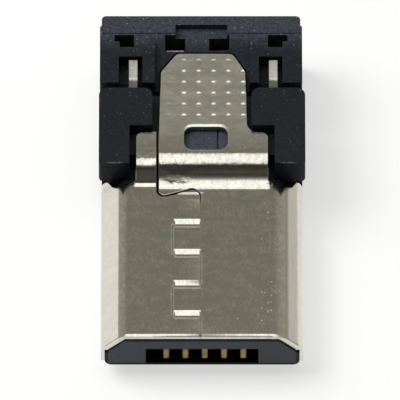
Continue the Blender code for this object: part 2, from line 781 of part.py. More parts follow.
def nose_outline():
    """The insulator's section inside the shell, as (across, height)."""
    inner_half = SHELL_WIDTH / 2 - SHEET - FIT
    top = SHELL_ROOF - FIT
    slope = (SHELL_WIDTH - NARROW_SIDE_WIDTH) / 2 / CHAMFER_RISE
    narrow = NARROW_SIDE_WIDTH / 2 - (SHEET + FIT) * math.tan(math.atan(1 / slope) / 2)
    side_top = top - (inner_half - narrow) / slope
    bottom = SHELL_FLOOR + FLOOR_FIT
    right = [(inner_half, bottom), (inner_half, side_top), (narrow, top)]
    left = [(-x, z) for x, z in reversed(right)]
    radii = [FLOOR_BEND_RADIUS - SHEET, NOSE_SIDE_RADIUS, NOSE_TOP_RADIUS]
    return fillet(right + left, radii + list(reversed(radii)))


def arms_outline():
    """The insulator's rear body in plan, with rounded rear corners, as (across, along)."""
    half = ARMS_WIDTH / 2
    corners = [(-half, ARM_START), (half, ARM_START), (half, ARM_END), (-half, ARM_END)]
    radii = [ARM_FRONT_RADIUS, ARM_FRONT_RADIUS, ARM_CORNER_RADIUS, ARM_CORNER_RADIUS]
    return fillet(corners, radii)


def overhang_room(side, inner):
    """The room beside and below one arm's overhang, as (across, height)."""
    outer = ARMS_WIDTH / 2
    edge = fillet([
        (inner, OVERHANG_HEIGHT), (outer, OVERHANG_HEIGHT),
        (outer, OVERHANG_HEIGHT + 2 * OVERHANG_RADIUS),
    ], OVERHANG_RADIUS, closed=False)[:-1]
    beyond = outer + CUT_PAST
    room = [(inner, -CUT_PAST)] + edge + [(beyond, edge[-1][1]), (beyond, -CUT_PAST)]
    return [(side * x, z) for x, z in room]


def make_main_insulator(material):
    """The moulded body: nose with its slot, two arms beside the neck and a floor between them."""
    body = add_object("main_insulator",
                      prism("main_insulator", [arms_outline()], "Z", 0.0, PLASTIC_HEIGHT),
                      material, smooth=True)
    high = PLASTIC_HEIGHT + CUT_PAST
    behind = ARM_END + CUT_PAST
    ahead = ARM_START - CUT_PAST
    half = ARMS_WIDTH / 2 + CUT_PAST
    tube_end = TUBE_LENGTH + FIT
    flare = HEAD_INNER + 2 * HEAD_CORNER_RADIUS
    head = fillet([(HEAD_INNER, HEAD_START), (HEAD_INNER, ARM_END), (flare, ARM_END)],
                  HEAD_CORNER_RADIUS, closed=False)[:-1]
    right = [(ARM_INNER, ahead), (ARM_INNER, HEAD_START)] + head + [(head[-1][0], behind)]
    well = right + [(-x, v) for x, v in reversed(right)]
    combine(body, prism("neck_well", [well], "Z", TAB_FLOOR, high))
    groove = box_outline(GROOVE_OFFSET - GROOVE_WIDTH / 2, GROOVE_OFFSET + GROOVE_WIDTH / 2,
                         WINDOW_START, behind)
    combine(body, prism("floor_groove", [groove], "Z", TAB_FLOOR - GROOVE_DEPTH, high))
    step_end = max(NECK_STEP.end, FLANGE_STEP.end) + FIT
    rest = SHELL_ROOF - 2 * FIT
    combine(body, prism("step_room", [box_outline(-ARM_INNER, ARM_INNER, ahead, step_end)],
                        "Z", rest, high))
    room = [overhang_room(side, SHELL_WIDTH / 2 - SHEET - FIT) for side in (-1, 1)]
    combine(body, prism("wall_room", room, "Y", ahead, tube_end))
    room = [overhang_room(side, SHELL_WIDTH / 2 - UNDERCUT) for side in (-1, 1)]
    combine(body, prism("side_undercut", room, "Y", tube_end, behind))
    floor_room = [
        (-half, ahead), (half, ahead), (half, tube_end), (NECK_WIDTH / 2 + FIT, tube_end),
        (NECK_WIDTH / 2 + FIT, TAIL_PLATE_END + FIT), (-NECK_WIDTH / 2 - FIT, TAIL_PLATE_END + FIT),
        (-NECK_WIDTH / 2 - FIT, tube_end), (-half, tube_end),
    ]
    combine(body, prism("floor_room", [floor_room], "Z", -2 * CUT_PAST, SHELL_FLOOR + FIT))
    bay = TAIL_BAY_WIDTH / 2
    bay_start = TAIL_PLATE_END + 4 * FIT
    combine(body, prism("tail_bay", [box_outline(-bay, bay, bay_start, behind)],
                        "Z", -CUT_PAST, TAIL_BAY_ROOF))
    socket = SPIGOT_WIDTH / 2 + FIT
    socket_start = HOUSING_START - SPIGOT_LENGTH - FIT
    opening = box_outline(HOUSING_SHIFT - socket, HOUSING_SHIFT + socket, socket_start, behind)
    combine(body, prism("spigot_socket", [opening],
                        "Z", SPIGOT_LOW - FIT, SPIGOT_LOW + SPIGOT_HEIGHT + FIT))
    combine(body, prism("nose", [nose_outline()], "Y", NOSE_START, tube_end + FIT), "UNION")
    low = SHELL_FLOOR + FLOOR_FIT
    chamfer = [
        (-CUT_PAST, low + NOSE_CHAMFER_RISE), (NOSE_START, low + NOSE_CHAMFER_RISE),
        (NOSE_START + NOSE_CHAMFER_RUN, low), (NOSE_START + NOSE_CHAMFER_RUN, -CUT_PAST),
        (-CUT_PAST, -CUT_PAST),
    ]
    combine(body, prism("nose_chamfer", [chamfer], "X", -half, half))
    slot = SLOT_WIDTH / 2
    combine(body, prism("slot", [box_outline(-slot, slot, SHELL_RAISE, SLOT_ROOF)],
                        "Y", NOSE_START - CUT_PAST, SLOT_DEPTH))
    for number, across in enumerate(contact_places(), start=1):
        room = CONTACT_WIDTH / 2 + FIT
        combine(body, prism(f"contact_passage_{number}", [contact_passage()],
                            "X", across - room, across + room))
    for number, side in enumerate((-1, 1), start=1):
        room = LATCH_THICKNESS / 2 + FIT
        across = LATCH_SHIFT + side * LATCH_SPACING / 2
        combine(body, prism(f"latch_channel_{number}", [latch_channel()],
                            "X", across - room, across + room))


def housing_outline():
    """The rear housing in plan, with its narrower rear lip, as (across, along)."""
    half = HOUSING_WIDTH / 2
    lip = half - LIP_STEP
    lip_start = PLUG_LENGTH - LIP_LENGTH
    right = [(half, HOUSING_START), (half, lip_start), (lip, lip_start + LIP_STEP), (lip, PLUG_LENGTH)]
    left = [(-x, v) for x, v in reversed(right)]
    radii = [HOUSING_FRONT_RADIUS] * 3 + [HOUSING_CORNER_RADIUS]
    return fillet(right + left, radii + list(reversed(radii)))


def make_rear_housing(material):
    """The moulded block behind the arms, with its channel, recess, holes, slots and spigot."""
    block = add_object("rear_housing",
                       prism("rear_housing", [housing_outline()], "Z", 0.0, PLASTIC_HEIGHT),
                       material, smooth=True)
    block.location.x = HOUSING_SHIFT
    high = PLASTIC_HEIGHT + CUT_PAST
    ahead = HOUSING_START - CUT_PAST
    behind = PLUG_LENGTH + CUT_PAST
    wide = HOUSING_WIDTH / 2 + CUT_PAST
    step = PLASTIC_HEIGHT - LEDGE_RAISE
    combine(block, prism("ledge_step", [box_outline(-wide, wide, ahead, PLUG_LENGTH - LEDGE_LENGTH)],
                         "Z", step, high))
    left = TAB_LEFT - TAB_GAP - HOUSING_SHIFT
    right = TAB_RIGHT + TAB_GAP - HOUSING_SHIFT
    far = TAB_END + TAB_GAP
    turn = far - TAB_CUT_ALONG
    channel = [
        (left, NECK_END), (right, NECK_END), (right - TAB_TAPER, turn),
        (right - TAB_TAPER - TAB_CUT_RIGHT, far), (left + TAB_TAPER + TAB_CUT_LEFT, far),
        (left + TAB_TAPER, turn),
    ]
    channel = fillet(channel, [0, 0] + [TAB_FILLET] * 4)
    combine(block, prism("tab_channel", [channel], "Z", TAB_FLOOR, high))
    flush = PLASTIC_HEIGHT - RECESS_DEPTH
    room = [
        (ahead, TAB_FLOOR - TAB_ROOM_DROP), (HOUSING_START, TAB_FLOOR - TAB_ROOM_DROP),
        (turn, flush), (far, flush), (far + TAB_ROOM_RUN, step),
        (far + TAB_ROOM_RUN, high), (ahead, high),
    ]
    combine(block, prism("tab_room", [room], "X", left - TAB_ROOM_LEFT, right + TAB_ROOM_RIGHT))
    hole_half = INNER_HOLE_WIDTH / 2
    inner_holes = [INNER_HOLE_SHIFT + side * INNER_HOLE_SPACING / 2 for side in (-1, 1)]
    recess = [
        (-RECESS_LEFT, HOLE_START), (-RECESS_LEFT, RECESS_END), (RECESS_RIGHT, RECESS_END),
        (RECESS_RIGHT, TAB_END), (inner_holes[0] - hole_half, TAB_END),
        (inner_holes[0] - hole_half, HOLE_START),
    ]
    combine(block, prism("centre_recess", [recess], "Z", PLASTIC_HEIGHT - RECESS_DEPTH, high))
    hole_end = HOLE_START + HOLE_LENGTH
    holes = [box_outline(x - hole_half, x + hole_half, HOLE_START, hole_end) for x in inner_holes]
    for side in (-1, 1):
        inner = side * (CORNER_HOLE_SPACING - CORNER_HOLE_WIDTH) / 2
        outer = side * (CORNER_HOLE_SPACING + CORNER_HOLE_WIDTH) / 2
        reach = outer + side * CORNER_HOLE_REACH
        inset = hole_end - CORNER_HOLE_LENGTH
        holes.append([(inner, HOLE_START), (outer, HOLE_START), (outer, inset), (reach, inset),
                      (reach, hole_end), (inner, hole_end)])
    combine(block, prism("square_holes", holes, "Z", HOLE_BOTTOM, high))
    slot_floor = PLASTIC_HEIGHT - ROD_SLOT_DEPTH
    slot = [
        (ahead, slot_floor - ROD_SLOPE * (ROD_FRONT - ahead)), (ROD_FRONT + 2 * FIT, slot_floor),
        (ROD_END + FIT, slot_floor), (ROD_END + FIT, high), (ahead, high),
    ]
    for number, side in enumerate((-1, 1), start=1):
        centre = side * LATCH_SPACING / 2 + ROD_SLOT_SHIFT
        combine(block, prism(f"rod_slot_{number}", [slot], "X",
                             centre - ROD_SLOT_WIDTH / 2, centre + ROD_SLOT_WIDTH / 2))
    bay = TAIL_BAY_WIDTH / 2
    combine(block, prism("solder_bay", [box_outline(-bay, bay, ahead, behind)],
                         "Z", -CUT_PAST, TAIL_BAY_ROOF))
    spigot = SPIGOT_WIDTH / 2
    start = HOUSING_START - SPIGOT_LENGTH
    combine(block, prism("spigot", [box_outline(-spigot, spigot, start, HOUSING_START + CUT_PAST)],
                         "Z", SPIGOT_LOW, SPIGOT_LOW + SPIGOT_HEIGHT), "UNION")


def main():
    """Build every piece of the plug."""
    clear_scene()
    nickel = make_material("nickel_plated_sheet", (0.62, 0.6, 0.54), 0.22, 1.0)
    spring = make_material("spring_steel", (0.66, 0.66, 0.64), 0.35, 1.0)
    gold = make_material("gold_plated_strip", (0.85, 0.62, 0.25), 0.25, 1.0)
    moulding = make_material("black_moulding", (0.025, 0.028, 0.036), 0.45, 0.0)
    make_shell(nickel)
    make_main_insulator(moulding)
    make_rear_housing(moulding)
    make_contacts(gold)
    make_latch_springs(spring)


main()
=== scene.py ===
"""Looks of a bare micro-B plug: stamped nickel shell, black mouldings, gold contacts, latch springs.

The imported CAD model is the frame. Sizes here are in millimetres and turned into metres when a mesh
is written. X runs across the plug, Y from its mating face to its rear, Z up; a length along the plug
is measured from the mating face.
"""
from __future__ import annotations

import json
import logging
import math
from abc import ABC, abstractmethod
from dataclasses import dataclass, field
from enum import Enum
from typing import Any, Callable, Iterable, Sequence

import bpy
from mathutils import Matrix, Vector, geometry

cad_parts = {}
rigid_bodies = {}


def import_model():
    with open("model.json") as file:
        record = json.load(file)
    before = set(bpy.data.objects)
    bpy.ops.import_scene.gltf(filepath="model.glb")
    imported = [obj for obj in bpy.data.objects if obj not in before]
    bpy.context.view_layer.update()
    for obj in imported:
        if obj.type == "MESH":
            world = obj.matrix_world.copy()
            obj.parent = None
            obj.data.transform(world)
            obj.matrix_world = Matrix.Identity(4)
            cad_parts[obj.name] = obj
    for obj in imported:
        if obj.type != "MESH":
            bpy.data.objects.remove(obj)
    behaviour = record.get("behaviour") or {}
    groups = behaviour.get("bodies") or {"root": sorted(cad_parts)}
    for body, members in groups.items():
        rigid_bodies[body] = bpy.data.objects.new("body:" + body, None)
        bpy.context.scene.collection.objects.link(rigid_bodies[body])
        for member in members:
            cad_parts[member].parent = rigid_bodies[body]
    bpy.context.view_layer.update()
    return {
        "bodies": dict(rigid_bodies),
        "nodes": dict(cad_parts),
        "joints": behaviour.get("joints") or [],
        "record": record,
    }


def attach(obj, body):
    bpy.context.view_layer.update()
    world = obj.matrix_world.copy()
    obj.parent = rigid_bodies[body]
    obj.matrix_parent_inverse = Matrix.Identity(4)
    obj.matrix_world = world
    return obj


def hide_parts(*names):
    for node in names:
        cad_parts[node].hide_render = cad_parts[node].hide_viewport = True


LOG = logging.getLogger("plug_scene")
MM = 0.001
PLUG_LENGTH = 12.9
FRONT_Y = -PLUG_LENGTH / 2

Pair = tuple[float, float]
Triple = tuple[float, float, float]
Loop = list[Pair]


class Slot(Enum):
    """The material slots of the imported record."""

    NICKEL = "nickel_plated_sheet"
    SPRING = "spring_steel"
    GOLD = "gold_plated_strip"
    MOULDING = "black_moulding"


class Term:
    """A node socket that Python arithmetic works on; each operator adds one Math node."""

    def __init__(self, tree: "Tree", socket: bpy.types.NodeSocket) -> None:
        """Keep the socket and the tree that it belongs to.

        Args:
            tree: The tree.
            socket: The socket, or None after an output node.
        """
        self.tree = tree
        self.socket = socket

    def math(self, operation: str, *others: Any, first: Any = None) -> "Term":
        """Add a Math node.

        Args:
            operation: The Math node's operation.
            others: The values or terms that follow this one.
            first: A value that comes before this one, for reflected operators.

        Returns:
            The node's result.
        """
        values = [self, *others] if first is None else [first, self, *others]
        return self.tree.node("ShaderNodeMath", {"operation": operation}, dict(enumerate(values)))

    def __add__(self, other: Any) -> "Term":
        """This plus other."""
        return self.math("ADD", other)

    __radd__ = __add__

    def __sub__(self, other: Any) -> "Term":
        """This minus other."""
        return self.math("SUBTRACT", other)

    def __rsub__(self, other: Any) -> "Term":
        """A number minus this."""
        return self.math("SUBTRACT", first=other)

    def __mul__(self, other: Any) -> "Term":
        """This times other."""
        return self.math("MULTIPLY", other)

    __rmul__ = __mul__

    def __abs__(self) -> "Term":
        """The size of this without its sign."""
        return self.math("ABSOLUTE")

    def most(self, other: Any) -> "Term":
        """The larger of this and other."""
        return self.math("MAXIMUM", other)

    def fade(self, low: float, high: float) -> "Term":
        """A smooth step.

        Args:
            low: Where the result is 0.
            high: Where the result is 1.

        Returns:
            The step, from 0 to 1.
        """
        flip = high < low
        settings = {"interpolation_type": "SMOOTHSTEP"}
        values = {"Value": self, "From Min": min(low, high), "From Max": max(low, high),
                  "To Min": 1.0 if flip else 0.0, "To Max": 0.0 if flip else 1.0}
        return self.tree.node("ShaderNodeMapRange", settings, values)

    def band(self, low: float, high: float, edge: float) -> "Term":
        """1 between low and high, fading to 0 over edge on both sides."""
        return self.fade(low - edge, low + edge) * self.fade(high + edge, high - edge)


class Tree:
    """Builds the node tree of one material or world."""

    def __init__(self, owner: Any) -> None:
        """Empty the owner's node tree.

        Args:
            owner: The material or world.
        """
        owner.use_nodes = True
        self.nodes = owner.node_tree.nodes
        self.links = owner.node_tree.links
        self.nodes.clear()

    def node(self, kind: str, settings: dict[str, Any] | None = None,
             values: dict[Any, Any] | None = None, output: Any = 0) -> Term:
        """Add a node.

        Args:
            kind: The node's type.
            settings: Its properties, set first; "stops" sets the stops of a colour ramp.
            values: What goes into its sockets, by name or number: a Term is linked.
            output: The output that is handed back, by name or number.

        Returns:
            That output.
        """
        node = self.nodes.new(kind)
        for name, value in (settings or {}).items():
            if name == "stops":
                self.set_stops(node.color_ramp, value)
            else:
                setattr(node, name, value)
        for name, value in (values or {}).items():
            if isinstance(value, Term):
                self.links.new(value.socket, node.inputs[name])
            else:
                node.inputs[name].default_value = value
        return Term(self, node.outputs[output] if len(node.outputs) else None)

    @staticmethod
    def set_stops(ramp: bpy.types.ColorRamp, stops: Sequence[Pair]) -> None:
        """Give a ramp its stops, as (place, grey level).

        Args:
            ramp: The ramp.
            stops: The places and their grey levels.
        """
        while len(ramp.elements) < len(stops):
            ramp.elements.new(1.0)
        for element, (place, level) in zip(ramp.elements, stops):
            element.position = place
            element.color = (level, level, level, 1.0)

    def position(self) -> Term:
        """The point on the piece, in millimetres."""
        point = self.node("ShaderNodeTexCoord", output="Object")
        return self.node("ShaderNodeVectorMath", {"operation": "SCALE"},
                         {"Vector": point, "Scale": 1.0 / MM})

    def axis(self, vector: Term, name: str) -> Term:
        """One coordinate of a vector."""
        return self.node("ShaderNodeSeparateXYZ", None, {0: vector}, name)

    def stretch(self, vector: Term, factors: Triple, turn: float = 0.0) -> Term:
        """A vector turned about Z by degrees and scaled on each axis."""
        return self.node("ShaderNodeMapping", {"vector_type": "POINT"}, {
            "Vector": vector, "Rotation": (0.0, 0.0, math.radians(turn)), "Scale": factors})

    def noise(self, vector: Term, scale: float, detail: float = 2.0) -> Term:
        """Noise from 0 to 1 with about one swell in 1 / scale millimetres."""
        return self.node("ShaderNodeTexNoise", None, {
            "Vector": vector, "Scale": scale, "Detail": detail, "Roughness": 0.6})

    def spots(self, vector: Term, scale: float, share: float, size: float) -> Term:
        """Round spots in some of the cells of a grid.

        Args:
            vector: The point.
            scale: Cells in a millimetre.
            share: The share of the cells that hold a spot.
            size: A spot's radius as a share of a cell.

        Returns:
            1 in the middle of a spot, 0 outside all of them.
        """
        inputs = {"Vector": vector, "Scale": scale}
        distance = self.node("ShaderNodeTexVoronoi", None, inputs, "Distance")
        colour = self.node("ShaderNodeTexVoronoi", None, inputs, "Color")
        chosen = self.axis(colour, "X").math("LESS_THAN", share)
        return distance.fade(size, 0.0) * chosen

    def mix(self, low: Triple | Term, high: Triple | Term, factor: Term) -> Term:
        """A colour between two by a factor.

        Args:
            low: The colour at 0.
            high: The colour at 1.
            factor: The factor.

        Returns:
            The mixed colour.
        """
        paints = {6: (*low, 1.0) if isinstance(low, tuple) else low,
                  7: (*high, 1.0) if isinstance(high, tuple) else high}
        return self.node("ShaderNodeMix", {"data_type": "RGBA"}, {0: factor, **paints}, 2)

    def bump(self, height: Term, distance: float) -> Term:
        """A normal from a height, of which 1 stands for distance millimetres."""
        return self.node("ShaderNodeBump", None, {
            "Height": height, "Distance": distance * MM}, "Normal")

    def principled(self, values: dict[str, Any]) -> None:
        """End the tree of a material in a Principled shader."""
        shader = self.node("ShaderNodeBsdfPrincipled", None, values)
        self.node("ShaderNodeOutputMaterial", None, {"Surface": shader})


# Finishes


class Finish(ABC):
    """The finish of one slot, whose material is named after it."""

    slot: Slot

    def material(self) -> bpy.types.Material:
        """Make the material.

        Returns:
            The material, named after the slot.
        """
        material = bpy.data.materials.new(self.slot.value)
        self.paint(Tree(material))
        return material

    @abstractmethod
    def paint(self, tree: Tree) -> None:
        """Build the material's nodes."""


@dataclass(frozen=True)
class NickelFinish(Finish):
    """Bright nickel on drawn sheet: grey with warm and cool clouds, fine grain, pits on a bend.

    Each pair holds two places, across the plug or along it, between which a trait lies or fades.
    """

    slot = Slot.NICKEL
    warm: Triple = (0.7, 0.672, 0.585)
    cool: Triple = (0.585, 0.59, 0.55)
    dull: Triple = (0.49, 0.475, 0.41)
    # Near black: painted shade for the wide side's floor and front edge inside the mouth.
    mouth_floor_shade: Triple = (0.02, 0.02, 0.02)
    roughness: float = 0.14
    narrow_side: Pair = (2.95, 2.6)
    matt_bend: Pair = (2.84, 3.2)
    pitted: Pair = (2.0, 2.5)
    scuffed: Pair = (0.1, 1.6)
    dents_across: Pair = (-1.25, -0.35)
    dents_along: Pair = (6.33, 6.75)
    foot: Pair = (6.46, 6.66)
    brow: Pair = (6.88, 7.38)
    tab: Pair = (7.1, 8.7)
    grain_height: float = 0.0024
    pit_height: float = 0.007
    dent_height: float = 0.05

    def paint(self, tree: Tree) -> None:
        """Mix clouds, streaks and grain, paint shade on the floor inside the mouth, and raise the grain,
        pits and dents.

        Args:
            tree: The material's empty tree.
        """
        point = tree.position()
        across = tree.axis(point, "X")
        along = tree.axis(point, "Y") - FRONT_Y
        height = tree.axis(point, "Z")
        top = abs(across).fade(*self.narrow_side)
        brow = along.band(*self.brow, 0.08)
        tab = along.fade(*self.tab)
        clouds = tree.noise(point, 2.4, 5.0)
        grain = tree.noise(tree.stretch(point, (1.4, 0.8, 1.0), 38.0), 9.0, 4.0)
        drawn = tree.noise(tree.stretch(point, (14.0, 1.2, 6.0), 38.0), 1.0)
        streaks = tree.noise(tree.stretch(point, (1.0, 2.6, 1.0), -22.0), 1.3, 4.0)
        colour = tree.mix(self.warm, self.cool, clouds.fade(0.4, 0.6) * (top * 0.7 + 0.3))
        colour = tree.mix(colour, self.dull, streaks.fade(0.42, 0.62) * top * 0.5)
        colour = tree.mix(colour, self.dull,
                          grain.fade(0.3, 0.7) * (top * 0.8 + 0.1) * (1.0 - tab * 0.9))
        # Painted shade: the wide side's floor and front edge inside the mouth are mixed to near black.
        painted_mouth_floor_shade = height.fade(0.6, 0.57) * abs(across).fade(3.1, 3.0) * along.fade(0.7, 0.5)
        pits = tree.spots(point, 9.0, 0.2, 0.3) * across.band(*self.pitted, 0.2)
        pits = pits + tree.spots(point, 5.0, 0.03, 0.2) * across.band(*self.scuffed, 0.2)
        relief = (grain * (brow * 3.6 + 0.6) + drawn * 0.45) * self.grain_height
        relief = relief + pits * self.pit_height + self.dents(tree, point) * self.dent_height
        # Roughness only: matt wear on the foot of the step and on a bend.
        wear_and_painted_highlight = (along.band(*self.foot, 0.1) * 0.12).most(across.band(*self.matt_bend, 0.08) * 0.17)
        tree.principled({
            "Base Color": tree.mix(colour, self.mouth_floor_shade, painted_mouth_floor_shade),
            "Metallic": 1.0,
            "Roughness": clouds * 0.06 + grain * 0.05 + tab * 0.08 + wear_and_painted_highlight + (self.roughness - 0.05),
            "Normal": tree.bump(relief, 1.0),
        })

    def dents(self, tree: Tree, point: Term) -> Term:
        """Small dents that the tool left at the foot of the step, over the tongue.

        Args:
            tree: The material's tree.
            point: The point on the piece.

        Returns:
            Their height, from 0 to 1.
        """
        across = tree.axis(point, "X").band(*self.dents_across, 0.2)
        along = (tree.axis(point, "Y") - FRONT_Y).band(*self.dents_along, 0.15)
        return tree.noise(tree.stretch(point, (1.0, 2.2, 1.0), 30.0), 1.5, 1.4) * (across * along)


@dataclass(frozen=True)
class SpringFinish(Finish):
    """Matt spring steel with a speckled, rolled face."""

    slot = Slot.SPRING
    colour: Triple = (0.77, 0.775, 0.73)
    shade: Triple = (0.56, 0.565, 0.53)
    roughness: float = 0.5

    def paint(self, tree: Tree) -> None:
        """Mix the speckle and the clouds.

        Args:
            tree: The material's empty tree.
        """
        point = tree.position()
        speckle = tree.noise(point, 16.0, 3.0)
        patches = (speckle * 0.6 + tree.noise(point, 3.0, 3.0) * 0.4).fade(0.35, 0.6)
        tree.principled({
            "Base Color": tree.mix(self.shade, self.colour, patches),
            "Metallic": 1.0,
            "Roughness": speckle * 0.12 + (self.roughness - 0.06),
            "Normal": tree.bump(speckle, 0.0025),
        })


@dataclass(frozen=True)
class GoldFinish(Finish):
    """Thin gold over strip: dull yellow down the middle, with painted shade at its sides and its lower
    end.
    """

    slot = Slot.GOLD
    colour: Triple = (0.25, 0.188, 0.075)
    shade: Triple = (0.14, 0.105, 0.05)
    # Near black: painted shade for the contact's sides and its lower end.
    side: Triple = (0.03, 0.022, 0.012)
    pitch: float = 0.65
    shift: float = 0.09
    roughness: float = 0.28

    def paint(self, tree: Tree) -> None:
        """Find how far a point is off its contact's middle, and paint shade on the sides and the lower
        end.

        Args:
            tree: The material's empty tree.
        """
        point = tree.position()
        clouds = tree.noise(point, 4.0, 3.0)
        lines = tree.noise(tree.stretch(point, (22.0, 1.0, 22.0)), 1.0)
        place = (tree.axis(point, "X") - self.shift) * (1.0 / self.pitch) + 0.5
        off = abs(place.math("FRACT") - 0.5) * self.pitch
        # Painted shade on the sides of each contact and on its lower end in the slot.
        dark = off.fade(0.045, 0.115).most(tree.axis(point, "Z").fade(0.82, 0.68))
        face = tree.mix(self.shade, self.colour, clouds.fade(0.3, 0.6))
        tree.principled({
            "Base Color": tree.mix(face, self.side, dark),
            "Metallic": 1.0,
            "Roughness": clouds * 0.12 + lines * 0.06 + (self.roughness - 0.09),
            "Normal": tree.bump(lines, 0.0012),
        })


@dataclass(frozen=True)
class MouldedFinish(Finish):
    """Glass-filled black plastic: blue-black, fine eroded grain, pale specks, a greyer rear ledge, and
    painted light, shade and highlights at its front.
    """

    slot = Slot.MOULDING
    colour: Triple = (0.0072, 0.009, 0.0125)
    # The pale tone of the clouds, grain, ledge and floor, and also the painted light on the mating face.
    light: Triple = (0.046, 0.052, 0.068)
    # Pale: the specks, and the painted highlights on two front edges.
    speck_and_highlight: Triple = (0.27, 0.27, 0.32)
    # Near black: painted shade round the mating face.
    border_shade: Triple = (0.0015, 0.0015, 0.002)
    roughness: float = 0.42
    shine: float = 0.16
    grain_height: float = 0.0045
    ledge: Pair = (11.29, 12.39)
    arm_edge: Pair = (6.72, 6.77)
    hole_edge: Pair = (11.57, 11.62)

    def paint(self, tree: Tree) -> None:
        """Mottle the body, paint light on its face, lighten its ledge and floor, paint shade round the
        face, and add the specks and painted edge highlights.

        Args:
            tree: The material's empty tree.
        """
        point = tree.position()
        across = tree.axis(point, "X")
        along = tree.axis(point, "Y") - FRONT_Y
        height = tree.axis(point, "Z")
        side = abs(across)
        clouds = tree.noise(point, 1.6, 4.0)
        grain = tree.noise(point, 11.0, 3.0)
        ledge = along.fade(*self.ledge)
        specks = tree.spots(point, 9.0, 0.17, 0.35) * (ledge * 0.7 + 0.3)
        front = along.fade(0.4, 0.1)
        face = height.fade(0.66, 0.7) * side.fade(3.21, 3.17)
        floor = along.fade(8.7, 8.5) * side.fade(1.2, 1.0) * height.fade(2.6, 2.5)
        mottle = grain.fade(0.3, 0.7) * 0.9 + 0.5
        pale = clouds.fade(0.35, 0.7) * 0.06 + grain.fade(0.4, 0.7) * 0.12
        pale = pale + (ledge * 0.72 + floor) * mottle
        # Painted light: the mating face is mixed to the pale tone, as if lit by the white table in front
        # of it.
        body = tree.mix(self.colour, self.light, pale.most(front * face))
        # Painted shade: the rest of the front, under the face and beside it at the shell, goes near
        # black.
        body = tree.mix(body, self.border_shade, front * (1.0 - face))
        # Painted highlights: thin pale lines along the arms' front top edges and the front edge of a
        # hole, broken up by the grain.
        arms = along.band(*self.arm_edge, 0.02) * height.fade(2.8, 2.86) * side.band(2.7, 3.2, 0.1)
        hole = along.band(*self.hole_edge, 0.02) * across.band(-1.2, -0.63, 0.04)
        wear_and_painted_highlight = (arms * 0.35).most(hole) * grain.fade(0.25, 0.6)
        tree.principled({
            "Base Color": tree.mix(body, self.speck_and_highlight, (specks * 0.8).most(wear_and_painted_highlight)),
            "Roughness": grain * 0.12 + clouds * 0.06 + (self.roughness - 0.09),
            "Specular IOR Level": self.shine,
            "Normal": tree.bump(grain + specks * 0.6, self.grain_height),
        })


# Pieces in the scene


def add_object(name: str, data: bpy.types.ID) -> bpy.types.Object:
    """Put a new object into the scene.

    Args:
        name: Its name.
        data: Its mesh, light or camera.

    Returns:
        The object.
    """
    item = bpy.data.objects.new(name, data)
    bpy.context.scene.collection.objects.link(item)
    return item


def add_piece(name: str, vertices: Iterable[Sequence[float]], faces: Sequence[Sequence[int]],
              material: bpy.types.Material) -> bpy.types.Object:
    """Write a mesh in metres.

    Args:
        name: The piece's name.
        vertices: Its points in millimetres.
        faces: Its faces.
        material: Its finish.

    Returns:
        The piece.
    """
    mesh = bpy.data.meshes.new(name)
    mesh.from_pydata([tuple(value * MM for value in vertex) for vertex in vertices], [], faces)
    mesh.materials.append(material)
    return add_object(name, mesh)


def add_modifier(piece: bpy.types.Object, name: str, kind: str, settings: dict[str, Any]) -> None:
    """Add a modifier and set its properties.

    Args:
        piece: The piece.
        name: The modifier's name.
        kind: Its type.
        settings: Its properties.
    """
    modifier = piece.modifiers.new(name, kind)
    for key, value in settings.items():
        setattr(modifier, key, value)


# The shell's sheet


@dataclass
class Span:
    """One straight or bent stretch of the shell's section."""

    start: float
    length: float
    anchor: Vector
    heading: Vector
    radius: float = 0.0


class EdgeMap:
    """The cut edges of the flat sheet, for asking what is inside and how far an edge is."""

    cell: float = 0.12

    def __init__(self, loops: Sequence[Loop], reach: float, mouth: float) -> None:
        """Sort the edges into rows and cells.

        Args:
            loops: The outline, counter-clockwise, and the openings, clockwise.
            reach: How far from an edge its distance is asked for.
            mouth: Where the front edge lies, which is coined and not rounded.
        """
        self.rows: dict[int, list[tuple[Pair, Pair]]] = {}
        self.cells: dict[tuple[int, int], list[tuple[Pair, Pair]]] = {}
        for loop in loops:
            for index, end in enumerate(loop):
                start = loop[index - 1]
                low, high = sorted((start[1], end[1]))
                for row in range(self.index(low), self.index(high) + 1):
                    self.rows.setdefault(row, []).append((start, end))
                if max(abs(start[1] - mouth), abs(end[1] - mouth)) < 1e-6:
                    continue
                left, right = sorted((start[0], end[0]))
                for row in range(self.index(low - reach), self.index(high + reach) + 1):
                    for column in range(self.index(left - reach), self.index(right + reach) + 1):
                        self.cells.setdefault((column, row), []).append((start, end))

    def index(self, value: float) -> int:
        """The number of the cell that a length falls in."""
        return math.floor(value / self.cell)

    def inside(self, u: float, v: float) -> bool:
        """Whether a point lies on the sheet.

        Args:
            u: The point's place round the section.
            v: The point's place along the plug.

        Returns:
            True on the sheet, False off it or in an opening.
        """
        result = False
        for (u0, v0), (u1, v1) in self.rows.get(self.index(v), ()):
            if (v0 > v) != (v1 > v) and u < (u1 - u0) * (v - v0) / (v1 - v0) + u0:
                result = not result
        return result

    def nearest(self, u: float, v: float, reach: float) -> tuple[float, Vector]:
        """The nearest cut edge.

        Args:
            u: The point's place round the section.
            v: The point's place along the plug.
            reach: Edges further off don't count.

        Returns:
            Its distance, and the way from it into the sheet.
        """
        point = Vector((u, v))
        best = reach
        inward = Vector((0.0, 0.0))
        for start, end in self.cells.get((self.index(u), self.index(v)), ()):
            a = Vector(start)
            edge = Vector(end) - a
            share = min(1.0, max(0.0, (point - a).dot(edge) / max(edge.length_squared, 1e-12)))
            away = point - (a + edge * share)
            if away.length > best + 1e-4:
                continue
            normal = Vector((-edge.y, edge.x)).normalized()
            if away.length < best - 1e-4:
                inward = Vector((0.0, 0.0))
            best = min(best, away.length)
            inward = inward + (normal if away.length < 1e-3 else away.normalized())
        return best, inward.normalized() if inward.length > 0 else inward


